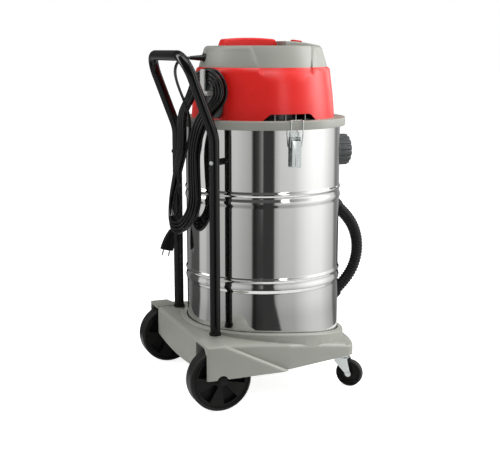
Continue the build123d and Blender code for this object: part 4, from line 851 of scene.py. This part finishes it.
# Level of the cards by bearing, in degrees to the right of the camera
card_tones = (
    (-180, 0.30),
    (-130, 0.25),
    (-122, 0.11),
    (-101, 0.11),
    (-98, 0.8),
    (-86, 0.8),
    (-82, 0.5),
    (-60, 0.64),
    (-36, 0.68),
    (-22, 0.54),
    (-15, 0.45),
    (-13.5, 0.02),
    (-10, 0.03),
    (-6, 0.06),
    (6, 0.07),
    (13.5, 0.05),
    (15.5, 0.5),
    (22, 0.74),
    (42, 0.82),
    (52, 1.08),
    (62, 1.28),
    (72, 1.4),
    (88, 1.4),
    (104, 1.05),
    (118, 0.78),
    (123, 0.4),
    (127, 0.24),
    (150, 0.4),
    (172, 0.5),
    (180, 0.3),
)

# The same above the height that the drum mirrors
upper_top = 8
upper_from = 0.66
upper_to = 0.86
upper_tones = (
    (-180, 0.1),
    (-98, 0.1),
    (-95, 6.0),
    (-86, 6.0),
    (-83, 0.1),
    (24, 0.1),
    (27, 5.0),
    (33, 5.0),
    (36, 0.3),
    (60, 0.8),
    (88, 2.2),
    (106, 2.2),
    (112, 0.2),
    (128, 0.2),
    (131, 3.2),
    (138, 3.2),
    (141, 0.1),
    (180, 0.1),
)
turn = np.radians(np.linspace(0, 360, 181))
card_rows = ((card_floor_radius, card_foot), (card_radius, card_foot), (card_radius, card_height))
ring = np.stack([
    np.stack((radius * np.cos(turn), drum_y + radius * np.sin(turn), np.full(len(turn), height)), axis=-1)
    for radius, height in card_rows
])
cards = surface("studio_cards", ring)
cards.data.polygons.foreach_set("use_smooth", np.zeros(len(cards.data.polygons), bool))
corners = np.empty(len(cards.data.vertices) * 3)
cards.data.vertices.foreach_get("co", corners)
corners = corners.reshape(-1, 3)
climb = corners[:, 2] + np.hypot(corners[:, 0], corners[:, 1] - drum_y) - card_radius
cards.data.attributes.new("climb", "FLOAT", "POINT").data.foreach_set("value", climb)


def ranged(nodes, links, value, low, high, first, last):
    """Value carried from the range low to high onto the range first to last, and held at its ends."""
    node = nodes.new("ShaderNodeMapRange")
    node.inputs["From Min"].default_value = low
    node.inputs["From Max"].default_value = high
    node.inputs["To Min"].default_value = first
    node.inputs["To Max"].default_value = last
    links.new(value, node.inputs["Value"])
    return node.outputs["Result"]


def worked(nodes, links, operation, first, second):
    """Two values put together: each is a link or a plain number."""
    node = nodes.new("ShaderNodeMath")
    node.operation = operation
    for socket, value in zip(node.inputs, (first, second)):
        if isinstance(value, (int, float)):
            socket.default_value = value
        else:
            links.new(value, socket)
    return node.outputs[0]


card_material = bpy.data.materials.new("studio_cards")
card_material.use_nodes = True
nodes, links = card_material.node_tree.nodes, card_material.node_tree.links
nodes.remove(nodes["Principled BSDF"])
glow = nodes.new("ShaderNodeEmission")
place = nodes.new("ShaderNodeTexCoord")
shift = nodes.new("ShaderNodeMapping")
shift.inputs["Location"].default_value = (0, -drum_y, 0)
shift.vector_type = "POINT"
turned = nodes.new("ShaderNodeVectorRotate")
turned.rotation_type = "Z_AXIS"
turned.inputs["Angle"].default_value = -math.atan2(-camera_way.y, -camera_way.x)
split = nodes.new("ShaderNodeSeparateXYZ")
links.new(place.outputs["Object"], shift.inputs["Vector"])
links.new(shift.outputs["Vector"], turned.inputs["Vector"])
links.new(turned.outputs["Vector"], split.inputs["Vector"])
bearing = worked(nodes, links, "ARCTAN2", split.outputs["Y"], split.outputs["X"])
height = nodes.new("ShaderNodeAttribute")
height.attribute_name = "climb"
height = height.outputs["Fac"]
share = ranged(nodes, links, bearing, -math.pi, math.pi, 0, 1)


def toned_by_bearing(tones, top):
    """Level of the cards by their bearing: a ramp through the tones, scaled by the top that it holds."""
    node = nodes.new("ShaderNodeValToRGB")
    ramp = node.color_ramp
    for angle, tone in tones[1:-1]:
        ramp.elements.new((angle + 180) / 360)
    for element, (angle, tone) in zip(ramp.elements, tones):
        element.position = (angle + 180) / 360
        element.color = (tone / top, tone / top, tone / top, 1)
    links.new(share, node.inputs["Fac"])
    return worked(nodes, links, "MULTIPLY", node.outputs["Color"], top)


level = toned_by_bearing(card_tones, card_top)

# A paler streak in the middle of the dark band, towards the top
beside = worked(nodes, links, "ABSOLUTE", bearing, 0)
streak = ranged(nodes, links, beside, 0, streak_half, streak_tone, 0)
streak = worked(nodes, links, "MULTIPLY", streak, ranged(nodes, links, height, streak_from, streak_to, 0, 1))
level = worked(nodes, links, "ADD", level, streak)
dimming = ranged(nodes, links, height, dim_from, dim_to, dim_low, dim_high)
level = worked(nodes, links, "MULTIPLY", level, dimming)

# The dark band widens to the right in a wedge near the floor
edge = ranged(nodes, links, height, wedge_bottom, wedge_top, wedge_wide, wedge_narrow)
inside = worked(nodes, links, "SUBTRACT", edge, bearing)
inside = ranged(nodes, links, inside, -wedge_soft / 2, wedge_soft / 2, 0, 1)
inside = worked(nodes, links, "MULTIPLY", inside, worked(nodes, links, "GREATER_THAN", bearing, 0))
toned = nodes.new("ShaderNodeMix")
toned.inputs["B"].default_value = wedge_tone
links.new(inside, toned.inputs["Factor"])
links.new(level, toned.inputs["A"])

# Above the height that the drum mirrors the cards are dark, with a few tall bright strips
crowned = nodes.new("ShaderNodeMix")
links.new(ranged(nodes, links, height, upper_from, upper_to, 0, 1), crowned.inputs["Factor"])
links.new(toned.outputs["Result"], crowned.inputs["A"])
links.new(toned_by_bearing(upper_tones, upper_top), crowned.inputs["B"])
links.new(crowned.outputs["Result"], glow.inputs["Strength"])
links.new(glow.outputs["Emission"], nodes["Material Output"].inputs["Surface"])
cards.data.materials.append(card_material)
cards.visible_camera = False
cards.visible_diffuse = False
cards.visible_shadow = False
cards.visible_transmission = False
